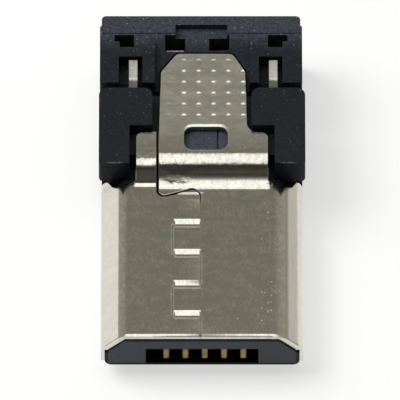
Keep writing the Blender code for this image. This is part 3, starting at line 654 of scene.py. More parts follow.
@dataclass
class Step:
    """A rise of the neck's sheet: an arc at its foot, a ramp and an arc at its brow."""

    start: float
    angle: float
    foot_radius: float
    brow_radius: float
    height: float = 0.5

    def __post_init__(self) -> None:
        """Work out the runs of the arcs and the ramp along the plug."""
        sine = math.sin(self.angle)
        self.foot_rise = self.foot_radius * (1 - math.cos(self.angle))
        self.brow_rise = self.brow_radius * (1 - math.cos(self.angle))
        self.slope = math.tan(self.angle)
        self.foot_run = self.foot_radius * sine
        self.ramp_run = (self.height - self.foot_rise - self.brow_rise) / self.slope
        self.end = self.start + self.foot_run + self.ramp_run + self.brow_radius * sine

    def rise(self, v: float) -> Pair:
        """The sheet's rise at v and its tangent.

        Args:
            v: The place along the plug.

        Returns:
            The rise and the tangent.
        """
        along = v - self.start
        left = self.end - v
        if along <= 0:
            return 0.0, 0.0
        if left <= 0:
            return self.height, 0.0
        if along < self.foot_run:
            fall = math.sqrt(self.foot_radius ** 2 - along ** 2)
            return self.foot_radius - fall, along / fall
        if along < self.foot_run + self.ramp_run:
            return self.foot_rise + (along - self.foot_run) * self.slope, self.slope
        fall = math.sqrt(self.brow_radius ** 2 - left ** 2)
        return self.height - self.brow_radius + fall, left / fall

    def rows(self, count: int) -> list[float]:
        """The rows of the sheet that follow the step's arcs.

        Args:
            count: The edges in each arc.

        Returns:
            Their places along the plug.
        """
        runs = [math.sin(self.angle * step / count) for step in range(count + 1)]
        foot = [self.start + self.foot_radius * run for run in runs]
        return foot + [self.end - self.brow_radius * run for run in runs]


class Outline:
    """Helpers for outlines and paths on the flat sheet."""

    @staticmethod
    def box(low_u: float, high_u: float, low_v: float, high_v: float) -> Loop:
        """The corners of a rectangle, counter-clockwise."""
        return [(low_u, low_v), (high_u, low_v), (high_u, high_v), (low_u, high_v)]

    @staticmethod
    def offset(points: Sequence[Pair], distances: Sequence[float], closed: bool = False) -> Loop:
        """Move a path to its left by a distance at each point, with mitred corners.

        Args:
            points: The path or outline.
            distances: How far each point's edges move.
            closed: Whether the last point joins the first.

        Returns:
            The moved points.
        """
        result = []
        count = len(points)
        for index, pair in enumerate(points):
            here = Vector(pair)
            ways = []
            if closed or index > 0:
                ways.append((here - Vector(points[index - 1])).normalized())
            if closed or index < count - 1:
                ways.append((Vector(points[(index + 1) % count]) - here).normalized())
            normals = [Vector((-way.y, way.x)) for way in ways]
            mitre = sum(normals, Vector((0.0, 0.0))).normalized()
            moved = here + mitre * (distances[index] / max(0.3, mitre.dot(normals[0])))
            result.append((moved.x, moved.y))
        return result

    @classmethod
    def inset(cls, loop: Loop, distance: float) -> Loop:
        """Move a closed outline inwards."""
        return cls.offset(loop, [distance] * len(loop), True)

    @staticmethod
    def fillet(points: Sequence[Pair], radii: Sequence[float], closed: bool = True,
               steps: int = 6) -> Loop:
        """Round the corners of an outline or path.

        Args:
            points: Its corners.
            radii: One radius for each corner.
            closed: Whether the last point joins the first.
            steps: The number of edges in an arc.

        Returns:
            The rounded outline.
        """
        result: Loop = []
        count = len(points)
        for index, pair in enumerate(points):
            if radii[index] <= 0 or (not closed and index in (0, count - 1)):
                result.append(pair)
                continue
            here = Vector(pair)
            to_last = Vector(points[index - 1]) - here
            to_next = Vector(points[(index + 1) % count]) - here
            half = to_last.angle(to_next) / 2
            run = min(radii[index] / math.tan(half), to_last.length * 0.49, to_next.length * 0.49)
            radius = run * math.tan(half)
            middle = (to_last.normalized() + to_next.normalized()).normalized()
            centre = here + middle * (radius / math.sin(half))
            start = here + to_last.normalized() * run - centre
            turn = start.angle_signed(here + to_next.normalized() * run - centre)
            for step in range(steps + 1):
                angle = -turn * step / steps
                x = start.x * math.cos(angle) - start.y * math.sin(angle)
                y = start.x * math.sin(angle) + start.y * math.cos(angle)
                result.append((centre.x + x, centre.y + y))
        return result


class SheetLines:
    """Lines on the flat sheet that its triangles follow."""

    def __init__(self) -> None:
        """Start without any line."""
        self.points: list[Vector] = []
        self.edges: list[tuple[int, int]] = []

    def loop(self, points: Loop) -> None:
        """Add a closed line.

        Args:
            points: Its points.
        """
        first = len(self.points)
        count = len(points)
        self.points.extend(Vector(point) for point in points)
        self.edges.extend((first + i, first + (i + 1) % count) for i in range(count))

    def line(self, start: Pair, end: Pair) -> None:
        """Add a straight line."""
        self.edges.append((len(self.points), len(self.points) + 1))
        self.points.extend((Vector(start), Vector(end)))

    def triangles(self, cuts: EdgeMap) -> tuple[list[Vector], list[list[int]]]:
        """Triangulate between the lines.

        Args:
            cuts: The cut edges, inside which the triangles are kept.

        Returns:
            The points and the triangles.
        """
        corners, _, faces, *_ = geometry.delaunay_2d_cdt(self.points, self.edges, [], 0, 1e-5)
        kept = []
        for face in faces:
            centre = sum((corners[i] for i in face), Vector((0.0, 0.0))) / len(face)
            if cuts.inside(centre.x, centre.y):
                kept.append(list(face))
        return corners, kept


@dataclass(frozen=True)
class SheetRows:
    """Where the sheet's features need lines: shares of their size, or lengths beside them."""

    arc_steps: int = 10
    edge_rings: tuple[float, ...] = (0.134, 0.5, 1.0)
    rim_rings: tuple[float, ...] = (0.35, 0.55, 0.8, 1.0)
    coin_rows: tuple[float, ...] = (0.15, 0.35, 0.6, 1.0)
    shoulder_rows: tuple[float, ...] = (6.0, 6.1, 6.18, 6.24, 6.28)
    shoulder_across: Pair = (2.3, 3.6)
    blend_columns: tuple[float, ...] = (0.0, 0.2, 0.4, 0.6, 0.8)
    blend_along: Pair = (5.9, 6.45)
    press_rows: tuple[float, ...] = (0.1, 0.17, 0.21, 0.24, -0.086, -0.094, -0.15, -0.16, -0.172)
    press_left: tuple[float, ...] = (0.02, 0.05, 0.08, 0.1)
    press_right: tuple[float, ...] = (-0.01, -0.03, -0.05, -0.08)
    press_along: Pair = (-0.18, 0.24)
    tip_rows: tuple[float, ...] = (0.0, 0.025, 0.05)
    dimple_rings: tuple[float, ...] = (0.46, 0.6, 0.73, 0.87, 1.0)
    dimple_sides: int = 14


@dataclass
class FoldedPoint:
    """A point of the flat sheet on the folded piece, whose outer vertex comes before its inner one."""

    outer: int
    outer_normal: Vector
    inner_normal: Vector
    cut_normal: Vector

    @property
    def inner(self) -> int:
        """The number of the inner vertex."""
        return self.outer + 1


@dataclass
class StampedShell:
    """The shell: one flat blank with seam teeth, tongue, tab and openings, folded round its section.

    A place on the flat sheet is (u, v): u round the section, from the middle of the narrow side to
    the right, and v along the plug.
    """

    # The section, the shoulders and the wide side
    sheet: float = 0.2
    width: float = 6.85
    top: float = 2.15
    floor: float = 0.35
    narrow_half: float = 2.7
    chamfer_rise: float = 0.75
    right_radii: Triple = (0.82, 0.72, 0.45)
    left_radii: Triple = (0.45, 0.42, 0.5)
    tube_length: float = 6.9
    shoulder_start: float = 6.32
    shoulder_slant: float = 0.4
    shoulder_turn: Pair = (0.28, 0.16)
    shoulder_radius: float = 0.3
    wide_side_start: float = 0.35
    lip_fade: Pair = (0.1, 0.3)
    tail_end: float = 8.2
    latch_spacing: float = 4.76
    latch_shift: float = 0.04
    hook_half: float = 0.255
    hook_along: Pair = (0.95, 2.1)
    # The coined front edge and the other cut edges
    mouth: float = 0.08
    coin_length: float = 0.1
    coin_depth: float = 0.035
    coin_curve: float = 1.7
    coin_half: float = 2.3
    coin_fade: float = 0.4
    coin_loss: float = 0.7
    edge_radius: float = 0.03
    # The seam, the places pressed beside it, and the tongue
    seam_half: float = 0.002
    seam_lean: float = 0.25
    seam_reach: float = 0.6
    seam_offset: float = 0.06
    seam_radius: float = 0.06
    groove_half: float = 0.05
    groove_depth: float = 0.023
    tooth_reach: float = 0.94
    tooth_length: float = 1.25
    tooth_pitch: float = 2.54
    first_tooth: float = 0.95
    tooth_count: int = 2
    press_length: float = 0.21
    press_depth: float = 0.068
    press_front: Pair = (0.09, 0.17)
    press_front_depth: float = 0.026
    press_ends: Pair = (0.02, 0.05)
    press_fade: float = 0.08
    tip_press: tuple[float, float, float, float] = (5.7, 5.78, 5.975, 6.045)
    tongue_tip: float = 5.88
    tongue_width: float = 1.44
    tongue_front: tuple[Pair, ...] = ((0.0, 0.1), (0.17, 0.225), (0.87, 0.0), (1.0, 0.09))
    tongue_halves: Triple = (0.008, 0.022, 0.022)
    tongue_radius: float = 0.2
    # The neck and the tab
    neck_gaps: Pair = (0.02, 0.045)
    neck_step: Step = field(default_factory=lambda: Step(6.12, math.radians(43.0), 0.88, 0.96))
    flange_step: Step = field(default_factory=lambda: Step(6.25, math.radians(50.0), 0.34, 0.7))
    neck_half: float = 2.25
    neck_end: float = 8.23
    tab_left: float = -1.48
    tab_right: float = 1.55
    tab_taper: float = 0.07
    tab_end: float = 11.51
    tab_cuts: Pair = (0.55, 0.44)
    tab_cut_along: float = 0.77
    corner_radius: float = 0.25
    root_radius: float = 0.35
    window_centre: Pair = (0.13, 7.955)
    window_size: Pair = (1.47, 0.93)
    window_radius: float = 0.3
    rim_width: float = 0.14
    rim_depth: float = 0.035
    rim_front: float = 0.3
    rim_rear_fade: float = 0.4
    rim_sides: float = 0.2
    rim_middle: Pair = (0.11, 0.56)
    rim_side_fade: float = 0.16
    dimple_count: int = 6
    dimple_pitch: Pair = (0.503, 0.461)
    dimple_offset: float = 0.14
    dimple_margin: float = 0.33
    dimple_radius: float = 0.11
    dimple_wall: float = 0.065
    dimple_depth: float = 0.0145
    dimple_shares: Triple = (0.12, 0.3, 0.75)
    # The mesh, and what the fold works out
    rows: SheetRows = field(default_factory=SheetRows)
    spans: list[Span] = field(default_factory=list)
    around: float = 0.0

    # The fold

    def fold(self) -> None:
        """Lay out the section's stretches, from the middle of the narrow side to the right."""
        half = self.width / 2
        side_top = self.top - self.chamfer_rise
        right = [(self.narrow_half, self.top), (half, side_top), (half, self.floor)]
        corners = right + [(-x, z) for x, z in reversed(right)]
        radii = self.right_radii + self.left_radii
        place = Vector((0.0, self.top))
        heading = Vector((1.0, 0.0))
        for here, there, radius in zip(corners, corners[1:] + [(0.0, self.top)], radii):
            corner = Vector(here)
            leaving = (Vector(there) - corner).normalized()
            turn = heading.angle(leaving)
            run = radius * math.tan(turn / 2)
            self.add_span(place, corner - heading * run, heading)
            centre = corner - heading * run + self.inward(heading) * radius
            self.spans.append(Span(self.around, radius * turn, centre, heading.copy(), radius))
            self.around += radius * turn
            place = corner + leaving * run
            heading = leaving
        self.add_span(place, Vector((0.0, self.top)), heading)

    def add_span(self, start: Vector, end: Vector, heading: Vector) -> None:
        """Add a straight stretch.

        Args:
            start: Its start.
            end: Its end.
            heading: Its way.
        """
        length = (end - start).length
        self.spans.append(Span(self.around, length, start.copy(), heading.copy()))
        self.around += length

    @staticmethod
    def inward(heading: Vector) -> Vector:
        """The way into the tube, to the right of the heading."""
        return Vector((heading.y, -heading.x))

    def section(self, u: float) -> tuple[Vector, Vector]:
        """The section's point and outward normal at u.

        Args:
            u: The place round the section.

        Returns:
            The point and the normal.
        """
        u = u % self.around
        for span in self.spans:
            if u > span.start + span.length and span is not self.spans[-1]:
                continue
            outward = -self.inward(span.heading)
            if not span.radius:
                return span.anchor + span.heading * (u - span.start), outward
            angle = (u - span.start) / span.radius
            outward = Vector((
                outward.x * math.cos(angle) + outward.y * math.sin(angle),
                -outward.x * math.sin(angle) + outward.y * math.cos(angle),
            ))
            return span.anchor + outward * span.radius, outward
        raise ValueError(u)

    def signed(self, u: float) -> float:
        """A place round the section, from minus to plus half of the way round."""
        return u - self.around if u > self.around / 2 else u

    def in_seam(self, u: float, v: float) -> bool:
        """Whether a point lies by the tube's seam, whose edges are pressed flat against each other."""
        middle = self.seam_offset + self.tooth_reach / 2
        return abs(self.signed(u) + middle) < self.seam_reach and v < self.tip_press[0]

    def seam_rows(self) -> list[float]:
        """Where the seam runs across the plug.

        Returns:
            The places along the plug.
        """
        rows = []
        for tooth in range(self.tooth_count):
            start = self.first_tooth + tooth * self.tooth_pitch
            rows += [start, start + self.tooth_length]
        return rows

    def groove(self, u: float, v: float) -> float:
        """The depth of the shallow groove over the seam's stretches that run along the plug.

        Args:
            u: The point's place round the section.
            v: The point's place along the plug.

        Returns:
            The depth.
        """
        if v > self.seam_rows()[-1]:
            return 0.0
        row = (v - self.first_tooth) % self.tooth_pitch
        middle = -self.seam_offset
        if v > self.first_tooth and row < self.tooth_length:
            middle -= self.tooth_reach
        return self.groove_depth * max(0.0, 1 - abs(u - middle) / self.groove_half)

    def dimples(self) -> list[tuple[float, float, float]]:
        """The coined dimples as (u, v, depth); the rear row leaves its corners out.

        Returns:
            The middle and the depth of each.
        """
        last = self.dimple_count - 1
        result = []
        for row in range(self.dimple_count):
            for column in range(self.dimple_count):
                if row == 0 and column in (0, last):
                    continue
                u = self.dimple_offset + (column - last / 2) * self.dimple_pitch[0]
                v = self.tab_end - self.dimple_margin - row * self.dimple_pitch[1]
                result.append((u, v, self.dimple_depth * self.dimple_share(row, column)))
        return result

    def dimple_share(self, row: int, column: int) -> float:
        """How deep a dimple is: the left column, the rear row and the front row are pressed less.

        Args:
            row: Its row, from the rear.
            column: Its column, from the left.

        Returns:
            The share of the full depth.
        """
        left, rear, front = self.dimple_shares
        if column == 0:
            return left
        if row == 0:
            return rear
        return front if row == self.dimple_count - 1 else 1.0

    def drop(self, u: float, v: float) -> float:
        """How far the outer face lies under its flat or folded form, apart from its rounded edges.

        Args:
            u: The point's place round the section.
            v: The point's place along the plug.

        Returns:
            The depth.
        """
        u = self.signed(u)
        coin = self.coin_depth * (1 - self.coin_loss * self.ease(abs(u) - self.coin_half, self.coin_fade))
        drop = coin * max(0.0, 1 - (v - self.mouth) / self.coin_length) ** self.coin_curve
        if v < self.tube_length:
            left, right = self.press_ends
            ends = self.ease(u + self.seam_offset + self.tooth_reach - left, self.press_fade)
            ends *= self.ease(right - self.seam_offset - u, self.press_fade)
            drop += self.groove(u, v)
            if ends > 0:
                for row in self.seam_rows():
                    drop += ends * self.press(v - row)
                start, floor, rise, end = self.tip_press
                fall = min(1.0, max(0.0, (v - start) / (floor - start)))
                drop += ends * self.press_front_depth * fall * (1 - self.ease(v - rise, end - rise))
        elif v > self.tube_length:
            drop += self.rim(u, v)
            for a, b, depth in self.dimples():
                far = math.hypot(u - a, v - b)
                if far < self.dimple_radius:
                    drop += depth * self.ease(self.dimple_radius - far, self.dimple_wall)
        return drop

    def rim(self, u: float, v: float) -> float:
        """The depth of the window's rolled rim, more at its rear than at its front.

        Args:
            u: The point's place round the section.
            v: The point's place along the plug.

        Returns:
            The depth.
        """
        across = abs(u - self.window_centre[0]) - self.window_size[0] / 2 + self.window_radius
        along = abs(v - self.window_centre[1]) - self.window_size[1] / 2 + self.window_radius
        away = math.hypot(max(across, 0.0), max(along, 0.0)) + min(max(across, along), 0.0)
        share = 1 - (away - self.window_radius) / self.rim_width
        if share <= 0:
            return 0.0
        middle, half = self.rim_middle
        behind = self.ease(v - self.window_centre[1], self.rim_rear_fade)
        aside = self.ease(abs(u - middle) - half, self.rim_side_fade)
        full = self.rim_front + (1 - self.rim_front) * behind
        full *= 1 - (1 - self.rim_sides) * aside
        return self.rim_depth * full * min(share, 1.0) ** 2

    def press(self, away: float) -> float:
        """The depth beside a seam that runs across the plug: a long slope behind it, a step before it.

        Args:
            away: How far behind the seam a point is.

        Returns:
            The depth.
        """
        if away >= 0:
            return self.press_depth * self.ramp(away, self.press_length)
        near, far = self.press_front
        return self.press_front_depth * self.ramp(max(0.0, -away - near), far - near)

    @staticmethod
    def ramp(away: float, length: float) -> float:
        """A straight fall from 1 to 0 over length, with its end rounded.

        Args:
            away: How far along it a point is.
            length: Its length.

        Returns:
            The share that is left.
        """
        blend = length * 0.2
        left = length - away
        if left > blend:
            return (left - blend / 2) / (length - blend / 2)
        return max(0.0, left) ** 2 / (2 * blend) / (length - blend / 2)

    @staticmethod
    def ease(value: float, length: float) -> float:
        """A smooth step from 0 to 1 over length."""
        share = min(1.0, max(0.0, value / length))
        return share * share * (3 - 2 * share)

    def place(self, u: float, v: float, depth: float) -> Vector:
        """The point of the folded sheet at (u, v), depth below its outer face.

        Args:
            u: The point's place round the section.
            v: The point's place along the plug.
            depth: How far under the outer face it is.

        Returns:
            The point.
        """
        point, outward = self.section(u)
        rise, slope = 0.0, 0.0
        if abs(outward.x) < 1e-6 and outward.y > 0:
            step = self.neck_step if u < self.around / 2 else self.flange_step
            rise, slope = step.rise(v)
            flat = self.spans[0].length
            beyond = abs(point.x) - self.neck_half
            if beyond > 0:
                share = 1 - self.ease(beyond, flat - self.neck_half)
                rise, slope = rise * share, slope * share
        lean = math.atan(slope)
        return Vector((
            point.x - outward.x * depth,
            FRONT_Y + v + math.sin(lean) * depth,
            point.y + rise - outward.y * depth * math.cos(lean),
        ))

    # The blank

    def seam_edge(self, side: int) -> Loop:
        """One edge of the seam, from the mating face to the neck's rear edge.

        Args:
            side: -1 for the edge of the right half of the sheet, 1 for that of the left half.

        Returns:
            Its points.
        """
        base = -self.seam_offset
        path = [(base, self.mouth)]
        for tooth in range(self.tooth_count):
            start = self.first_tooth + tooth * self.tooth_pitch
            end = start + self.tooth_length
            path += [(base, start), (base - self.tooth_reach, start)]
            path += [(base - self.tooth_reach, end), (base, end)]
        teeth = len(path)
        for across, behind in self.tongue_front:
            path.append((base - self.tongue_width * across, self.tongue_tip + self.tongue_width * behind))
        path.append((base - self.tongue_width, self.neck_end))
        gap = self.neck_gaps[0] if side < 0 else self.neck_gaps[1]
        halves = [self.seam_half] * teeth + list(self.tongue_halves) + [gap] * 2
        radii = [0.0] + [self.seam_radius] * (teeth - 1) + [self.tongue_radius] * 4 + [0.0]
        return Outline.fillet(Outline.offset(path, [side * half for half in halves]), radii, False)

    def blank(self) -> Loop:
        """The outline of the flat sheet, counter-clockwise.

        Returns:
            Its points.
        """
        around = self.around
        left_edge = self.seam_edge(1)
        right_edge = self.seam_edge(-1)
        neck, shoulder = self.neck_half, self.narrow_half
        slant = self.shoulder_start + (shoulder - neck) * self.shoulder_slant
        side_start = self.spans[3].start
        middle = around / 2
        radius = self.corner_radius
        outline = [(u + around, v) for u, v in left_edge]
        outline += Outline.fillet([
            (around + left_edge[-1][0], self.neck_end), (around - neck, self.neck_end),
            (around - neck, slant)], [0.0, radius, 0.0], False)[1:]
        turn_across, turn_along = self.shoulder_turn
        notch = Outline.fillet([
            (shoulder, self.shoulder_start), (side_start - turn_across, self.shoulder_start + turn_along),
            (side_start, self.tube_length)], [0.0, self.shoulder_radius, 0.0], False)
        outline += [(around - u, v) for u, v in notch] + [(middle + neck, self.tube_length)]
        outline += [(middle + neck, self.tail_end), (middle - neck, self.tail_end)]
        outline += [(middle - neck, self.tube_length)] + list(reversed(notch))
        cut_left, cut_right = self.tab_cuts
        cut_start = self.tab_end - self.tab_cut_along
        left, right = self.tab_left + self.tab_taper, self.tab_right - self.tab_taper
        outline += Outline.fillet([
            (neck, slant), (neck, self.neck_end), (self.tab_right, self.neck_end),
            (right, cut_start), (right - cut_right, self.tab_end),
            (left + cut_left, self.tab_end), (left, cut_start),
            (right_edge[-1][0], self.neck_end),
        ], [0.0, radius, self.root_radius] + [radius] * 4 + [0.0], False)
        outline += list(reversed(right_edge[:-1]))
        bend = self.spans[5].start
        lip = [(bend + self.lip_fade[0], self.mouth), (bend + self.lip_fade[1], self.wide_side_start)]
        return outline + lip + [(around - u, v) for u, v in reversed(lip)]

    def openings(self) -> list[Loop]:
        """The window in the neck and one for each latch hook, clockwise.

        Returns:
            Their outlines.
        """
        u, v = self.window_centre
        wide, long = self.window_size
        loops = [Outline.fillet(Outline.box(u - wide / 2, u + wide / 2, v - long / 2, v + long / 2),
                                [self.window_radius] * 4)]
        for side in (-1, 1):
            centre = self.around / 2 - self.latch_shift - side * self.latch_spacing / 2
            loops.append(Outline.box(centre - self.hook_half, centre + self.hook_half, *self.hook_along))
        return [list(reversed(loop)) for loop in loops]

    def sheet_mesh(self) -> tuple[list[Vector], list[list[int]], EdgeMap]:
        """Triangulate the flat sheet along its bends, pressed places, dimples and rounded edges.

        Returns:
            The flat points, the triangles, and the map of the cut edges.
        """
        loops = [self.blank()] + self.openings()
        cuts = EdgeMap(loops, self.edge_radius, self.mouth)
        lines = SheetLines()
        for loop in loops:
            lines.loop(loop)
            for share in self.rows.edge_rings:
                lines.loop(Outline.inset(loop, self.edge_radius * share))
        for share in self.rows.rim_rings:
            lines.loop(Outline.inset(loops[1], self.rim_width * share))
        self.add_bend_lines(lines)
        self.add_seam_lines(lines)
        self.add_shoulder_lines(lines)
        self.add_press_lines(lines)
        sides = self.rows.dimple_sides
        ring = [2 * math.pi * (step + 0.5) / sides for step in range(sides)]
        for u, v, _ in self.dimples():
            for share in self.rows.dimple_rings:
                radius = self.dimple_radius * share
                lines.loop([(u + radius * math.cos(a), v + radius * math.sin(a)) for a in ring])
        corners, faces = lines.triangles(cuts)
        return corners, faces, cuts

    def add_bend_lines(self, lines: SheetLines) -> None:
        """Add lines along the section's bends, the coined edge and the steps, past the sheet's ends.

        Args:
            lines: The sheet's lines so far.
        """
        over = 0.3
        aside = 0.4
        steps = self.rows.arc_steps
        for span in self.spans:
            if span.radius:
                for step in range(steps + 1):
                    u = span.start + span.length * step / steps
                    lines.line((u, -over), (u, self.tube_length + over))
        for share in self.rows.coin_rows:
            v = self.mouth + self.coin_length * share
            lines.line((-2.0, v), (self.around + 2.0, v))
        for v in self.neck_step.rows(steps):
            lines.line((aside - self.neck_half, v), (aside + self.neck_half, v))
        for v in self.flange_step.rows(steps):
            lines.line((self.around - self.neck_half - aside, v), (self.around - aside, v))

    def add_seam_lines(self, lines: SheetLines) -> None:
        """Add lines along both sides of the groove over the seam, on both sides of the blank's cut.

        Args:
            lines: The sheet's lines so far.
        """
        last = self.seam_rows()[-1]
        for shift in (0.0, self.around):
            for middle in (-self.seam_offset, -self.seam_offset - self.tooth_reach):
                for away in (-self.groove_half, self.groove_half):
                    u = shift + middle + away
                    lines.line((u, self.mouth), (u, last))

    def add_shoulder_lines(self, lines: SheetLines) -> None:
        """Add lines over the chamfers before the shoulders, and beside the neck where its step fades.

        Args:
            lines: The sheet's lines so far.
        """
        around = self.around
        near, far = self.rows.shoulder_across
        for v in self.rows.shoulder_rows:
            lines.line((near, v), (far, v))
            lines.line((around - far, v), (around - near, v))
        blend = self.spans[0].length - self.neck_half
        front, rear = self.rows.blend_along
        for share in self.rows.blend_columns:
            for u in (self.neck_half + blend * share, around - self.neck_half - blend * share):
                lines.line((u, front), (u, rear))

    def add_press_lines(self, lines: SheetLines) -> None:
        """Add the lines that the pressed places beside the seam need, on both sides of the blank's cut.

        Args:
            lines: The sheet's lines so far.
        """
        rows = self.rows
        over = 0.1
        left = -self.seam_offset - self.tooth_reach
        columns = [left + u for u in rows.press_left] + list(rows.press_right)
        front, rear = rows.press_along
        for shift in (0.0, self.around):
            for row in self.seam_rows():
                for away in rows.press_rows:
                    lines.line((shift + left - over, row + away), (shift + over, row + away))
                for u in columns:
                    lines.line((shift + u, row + front), (shift + u, row + rear))
            for row in self.tip_press:
                for away in rows.tip_rows:
                    lines.line((shift + left, row + away), (shift + over, row + away))

    # The folded piece

    def frame_at(self, u: float, v: float,
                 depth: Callable[[float, float], float]) -> tuple[Vector, Vector, Vector]:
        """The lie of a face of the sheet.

        Args:
            u: The point's place round the section.
            v: The point's place along the plug.
            depth: The face's depth at any place.

        Returns:
            The outward normal and the tangents round the section and along the plug.
        """
        step = 0.002
        low = max(v - step, self.mouth)
        places = ((u - step, v), (u + step, v), (u, low), (u, low + 2 * step))
        left, right, front, rear = (self.place(a, b, depth(a, b)) for a, b in places)
        across = right - left
        along = rear - front
        return -along.cross(across).normalized(), across.normalized(), along.normalized()

    def rounded(self, u: float, v: float, cuts: EdgeMap) -> tuple[float, Vector, Vector]:
        """Round the outer face at the cut edges.

        Args:
            u: The point's place round the section.
            v: The point's place along the plug.
            cuts: The cut edges.

        Returns:
            The depth of the rounding, the face's normal, and the normal of the cut beside it.
        """
        radius = self.edge_radius
        distance, inward = cuts.nearest(u, v, radius)
        share = min(1.0, max(0.0, (radius - distance) / radius))
        lean = math.asin(share)
        depth = radius * (1 - math.cos(lean))
        if self.in_seam(u, v):
            lean = self.seam_lean * share
            depth = radius * self.seam_lean * share * share / 2
        normal, across, along = self.frame_at(u, v, self.drop)
        out = -(across * inward.x + along * inward.y)
        cut_normal = out.normalized() if out.length > 0 else Vector((0.0, -1.0, 0.0))
        return depth, (normal * math.cos(lean) + out * math.sin(lean)).normalized(), cut_normal

    def build(self, material: bpy.types.Material) -> bpy.types.Object:
        """Fold and thicken the sheet.

        Args:
            material: The finish.

        Returns:
            The piece, which stands for the CAD node.
        """
        self.fold()
        corners, faces, cuts = self.sheet_mesh()
        vertices: list[Vector] = []
        folded: dict[int, FoldedPoint] = {}
        for index in sorted({index for face in faces for index in face}):
            u, v = corners[index]
            depth, normal, cut_normal = self.rounded(u, v, cuts)
            under = -self.frame_at(u, v, lambda *_: 0.0)[0]
            folded[index] = FoldedPoint(len(vertices), normal, under, cut_normal)
            vertices.append(self.place(u, v, self.drop(u, v) + depth))
            vertices.append(self.place(u, v, self.sheet))
        polygons: list[tuple[int, ...]] = []
        normals: list[Vector] = []
        open_sides: dict[tuple[int, int], bool] = {}
        for face in faces:
            ring = [folded[index] for index in face]
            polygons.append(tuple(point.outer for point in ring))
            normals += [point.outer_normal for point in ring]
            ring.reverse()
            polygons.append(tuple(point.inner for point in ring))
            normals += [point.inner_normal for point in ring]
            for start, end in zip(face, face[1:] + face[:1]):
                if not open_sides.pop((end, start), False):
                    open_sides[(start, end)] = True
        front = Vector((0.0, -1.0, 0.0))
        for start, end in open_sides:
            here, there = folded[start], folded[end]
            polygons.append((there.outer, here.outer, here.inner, there.inner))
            at_front = max(corners[start].y, corners[end].y) < self.mouth + 1e-6
            ways = (front, front) if at_front else (there.cut_normal, here.cut_normal)
            normals += [ways[0], ways[1], ways[1], ways[0]]
        piece = add_piece("stamped_shell", vertices, polygons, material)
        piece.data.shade_smooth()
        piece.data.normals_split_custom_set([tuple(normal) for normal in normals])
        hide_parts("shell")
        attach(piece, "body")
        return piece


# The moulding's lower edge in the mouth, a dark piece in painted shade


@dataclass
class MouthShadeBorder:
    """A rounded strip of moulding under its face and up both sides of the shell's mouth, in painted shade
    for the shadowed gaps there.
    """

    half: float = 3.29
    inner_half: float = 3.18
    slot_half: float = 1.9
    bottom: float = 0.55
    slot_bottom: float = 0.65
    top: float = 0.82
    side_top: float = 1.29
    corner: float = 0.24
    front: float = 0.021
    back: float = 0.34
    edge: float = 0.025

    def build(self, material: bpy.types.Material) -> bpy.types.Object:
        """Extrude the edge's outline and round it.

        Args:
            material: The moulding's finish.

        Returns:
            The piece.
        """
        right = [
            (self.half, self.bottom), (self.half, self.side_top),
            (self.inner_half, self.side_top), (self.inner_half, self.top),
            (self.slot_half, self.top), (self.slot_half, self.slot_bottom)]
        outline = right + [(-x, z) for x, z in reversed(right)]
        square = [0.0] * (len(outline) - 2)
        outline = Outline.fillet(outline, [self.corner] + square + [self.corner])
        count = len(outline)
        vertices = [(x, FRONT_Y + y, z) for y in (self.front, self.back) for x, z in outline]
        faces = [tuple(range(count)), tuple(range(2 * count - 1, count - 1, -1))]
        faces += [(i, i + count, (i + 1) % count + count, (i + 1) % count) for i in range(count)]
        piece = add_piece("mouth_shade_border", vertices, faces, material)
        add_modifier(piece, "edges", "BEVEL", {
            "width": self.edge * MM, "segments": 2, "limit_method": "ANGLE"})
        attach(piece, "body")
        return piece


# The pieces that keep their CAD mesh


@dataclass
class CarriedPieces:
    """CAD nodes that keep their shape and get broken edges and a finish."""

    nodes: tuple[str, ...]
    edge: float
    segments: int = 2
    bevel_angle: float = 32.0
    flat_angle: float = 1.5
    weld: float = 0.0005

    def dress(self, frame: dict[str, Any], material: bpy.types.Material) -> None:
        """Give each node its edges and finish.

        Args:
            frame: The loaded frame.
            material: The finish.
        """
        for name in self.nodes:
            node = frame["nodes"][name]
            add_modifier(node, "weld", "WELD", {"merge_threshold": self.weld * MM})
            add_modifier(node, "plain_faces", "DECIMATE", {
                "decimate_type": "DISSOLVE", "angle_limit": math.radians(self.flat_angle)})
            add_modifier(node, "edges", "BEVEL", {
                "width": self.edge * MM, "segments": self.segments, "limit_method": "ANGLE",
                "angle_limit": math.radians(self.bevel_angle), "harden_normals": True})
            node.data.materials.clear()
            node.data.materials.append(material)
            LOG.info("dressed %s", name)


# Floor, light and camera


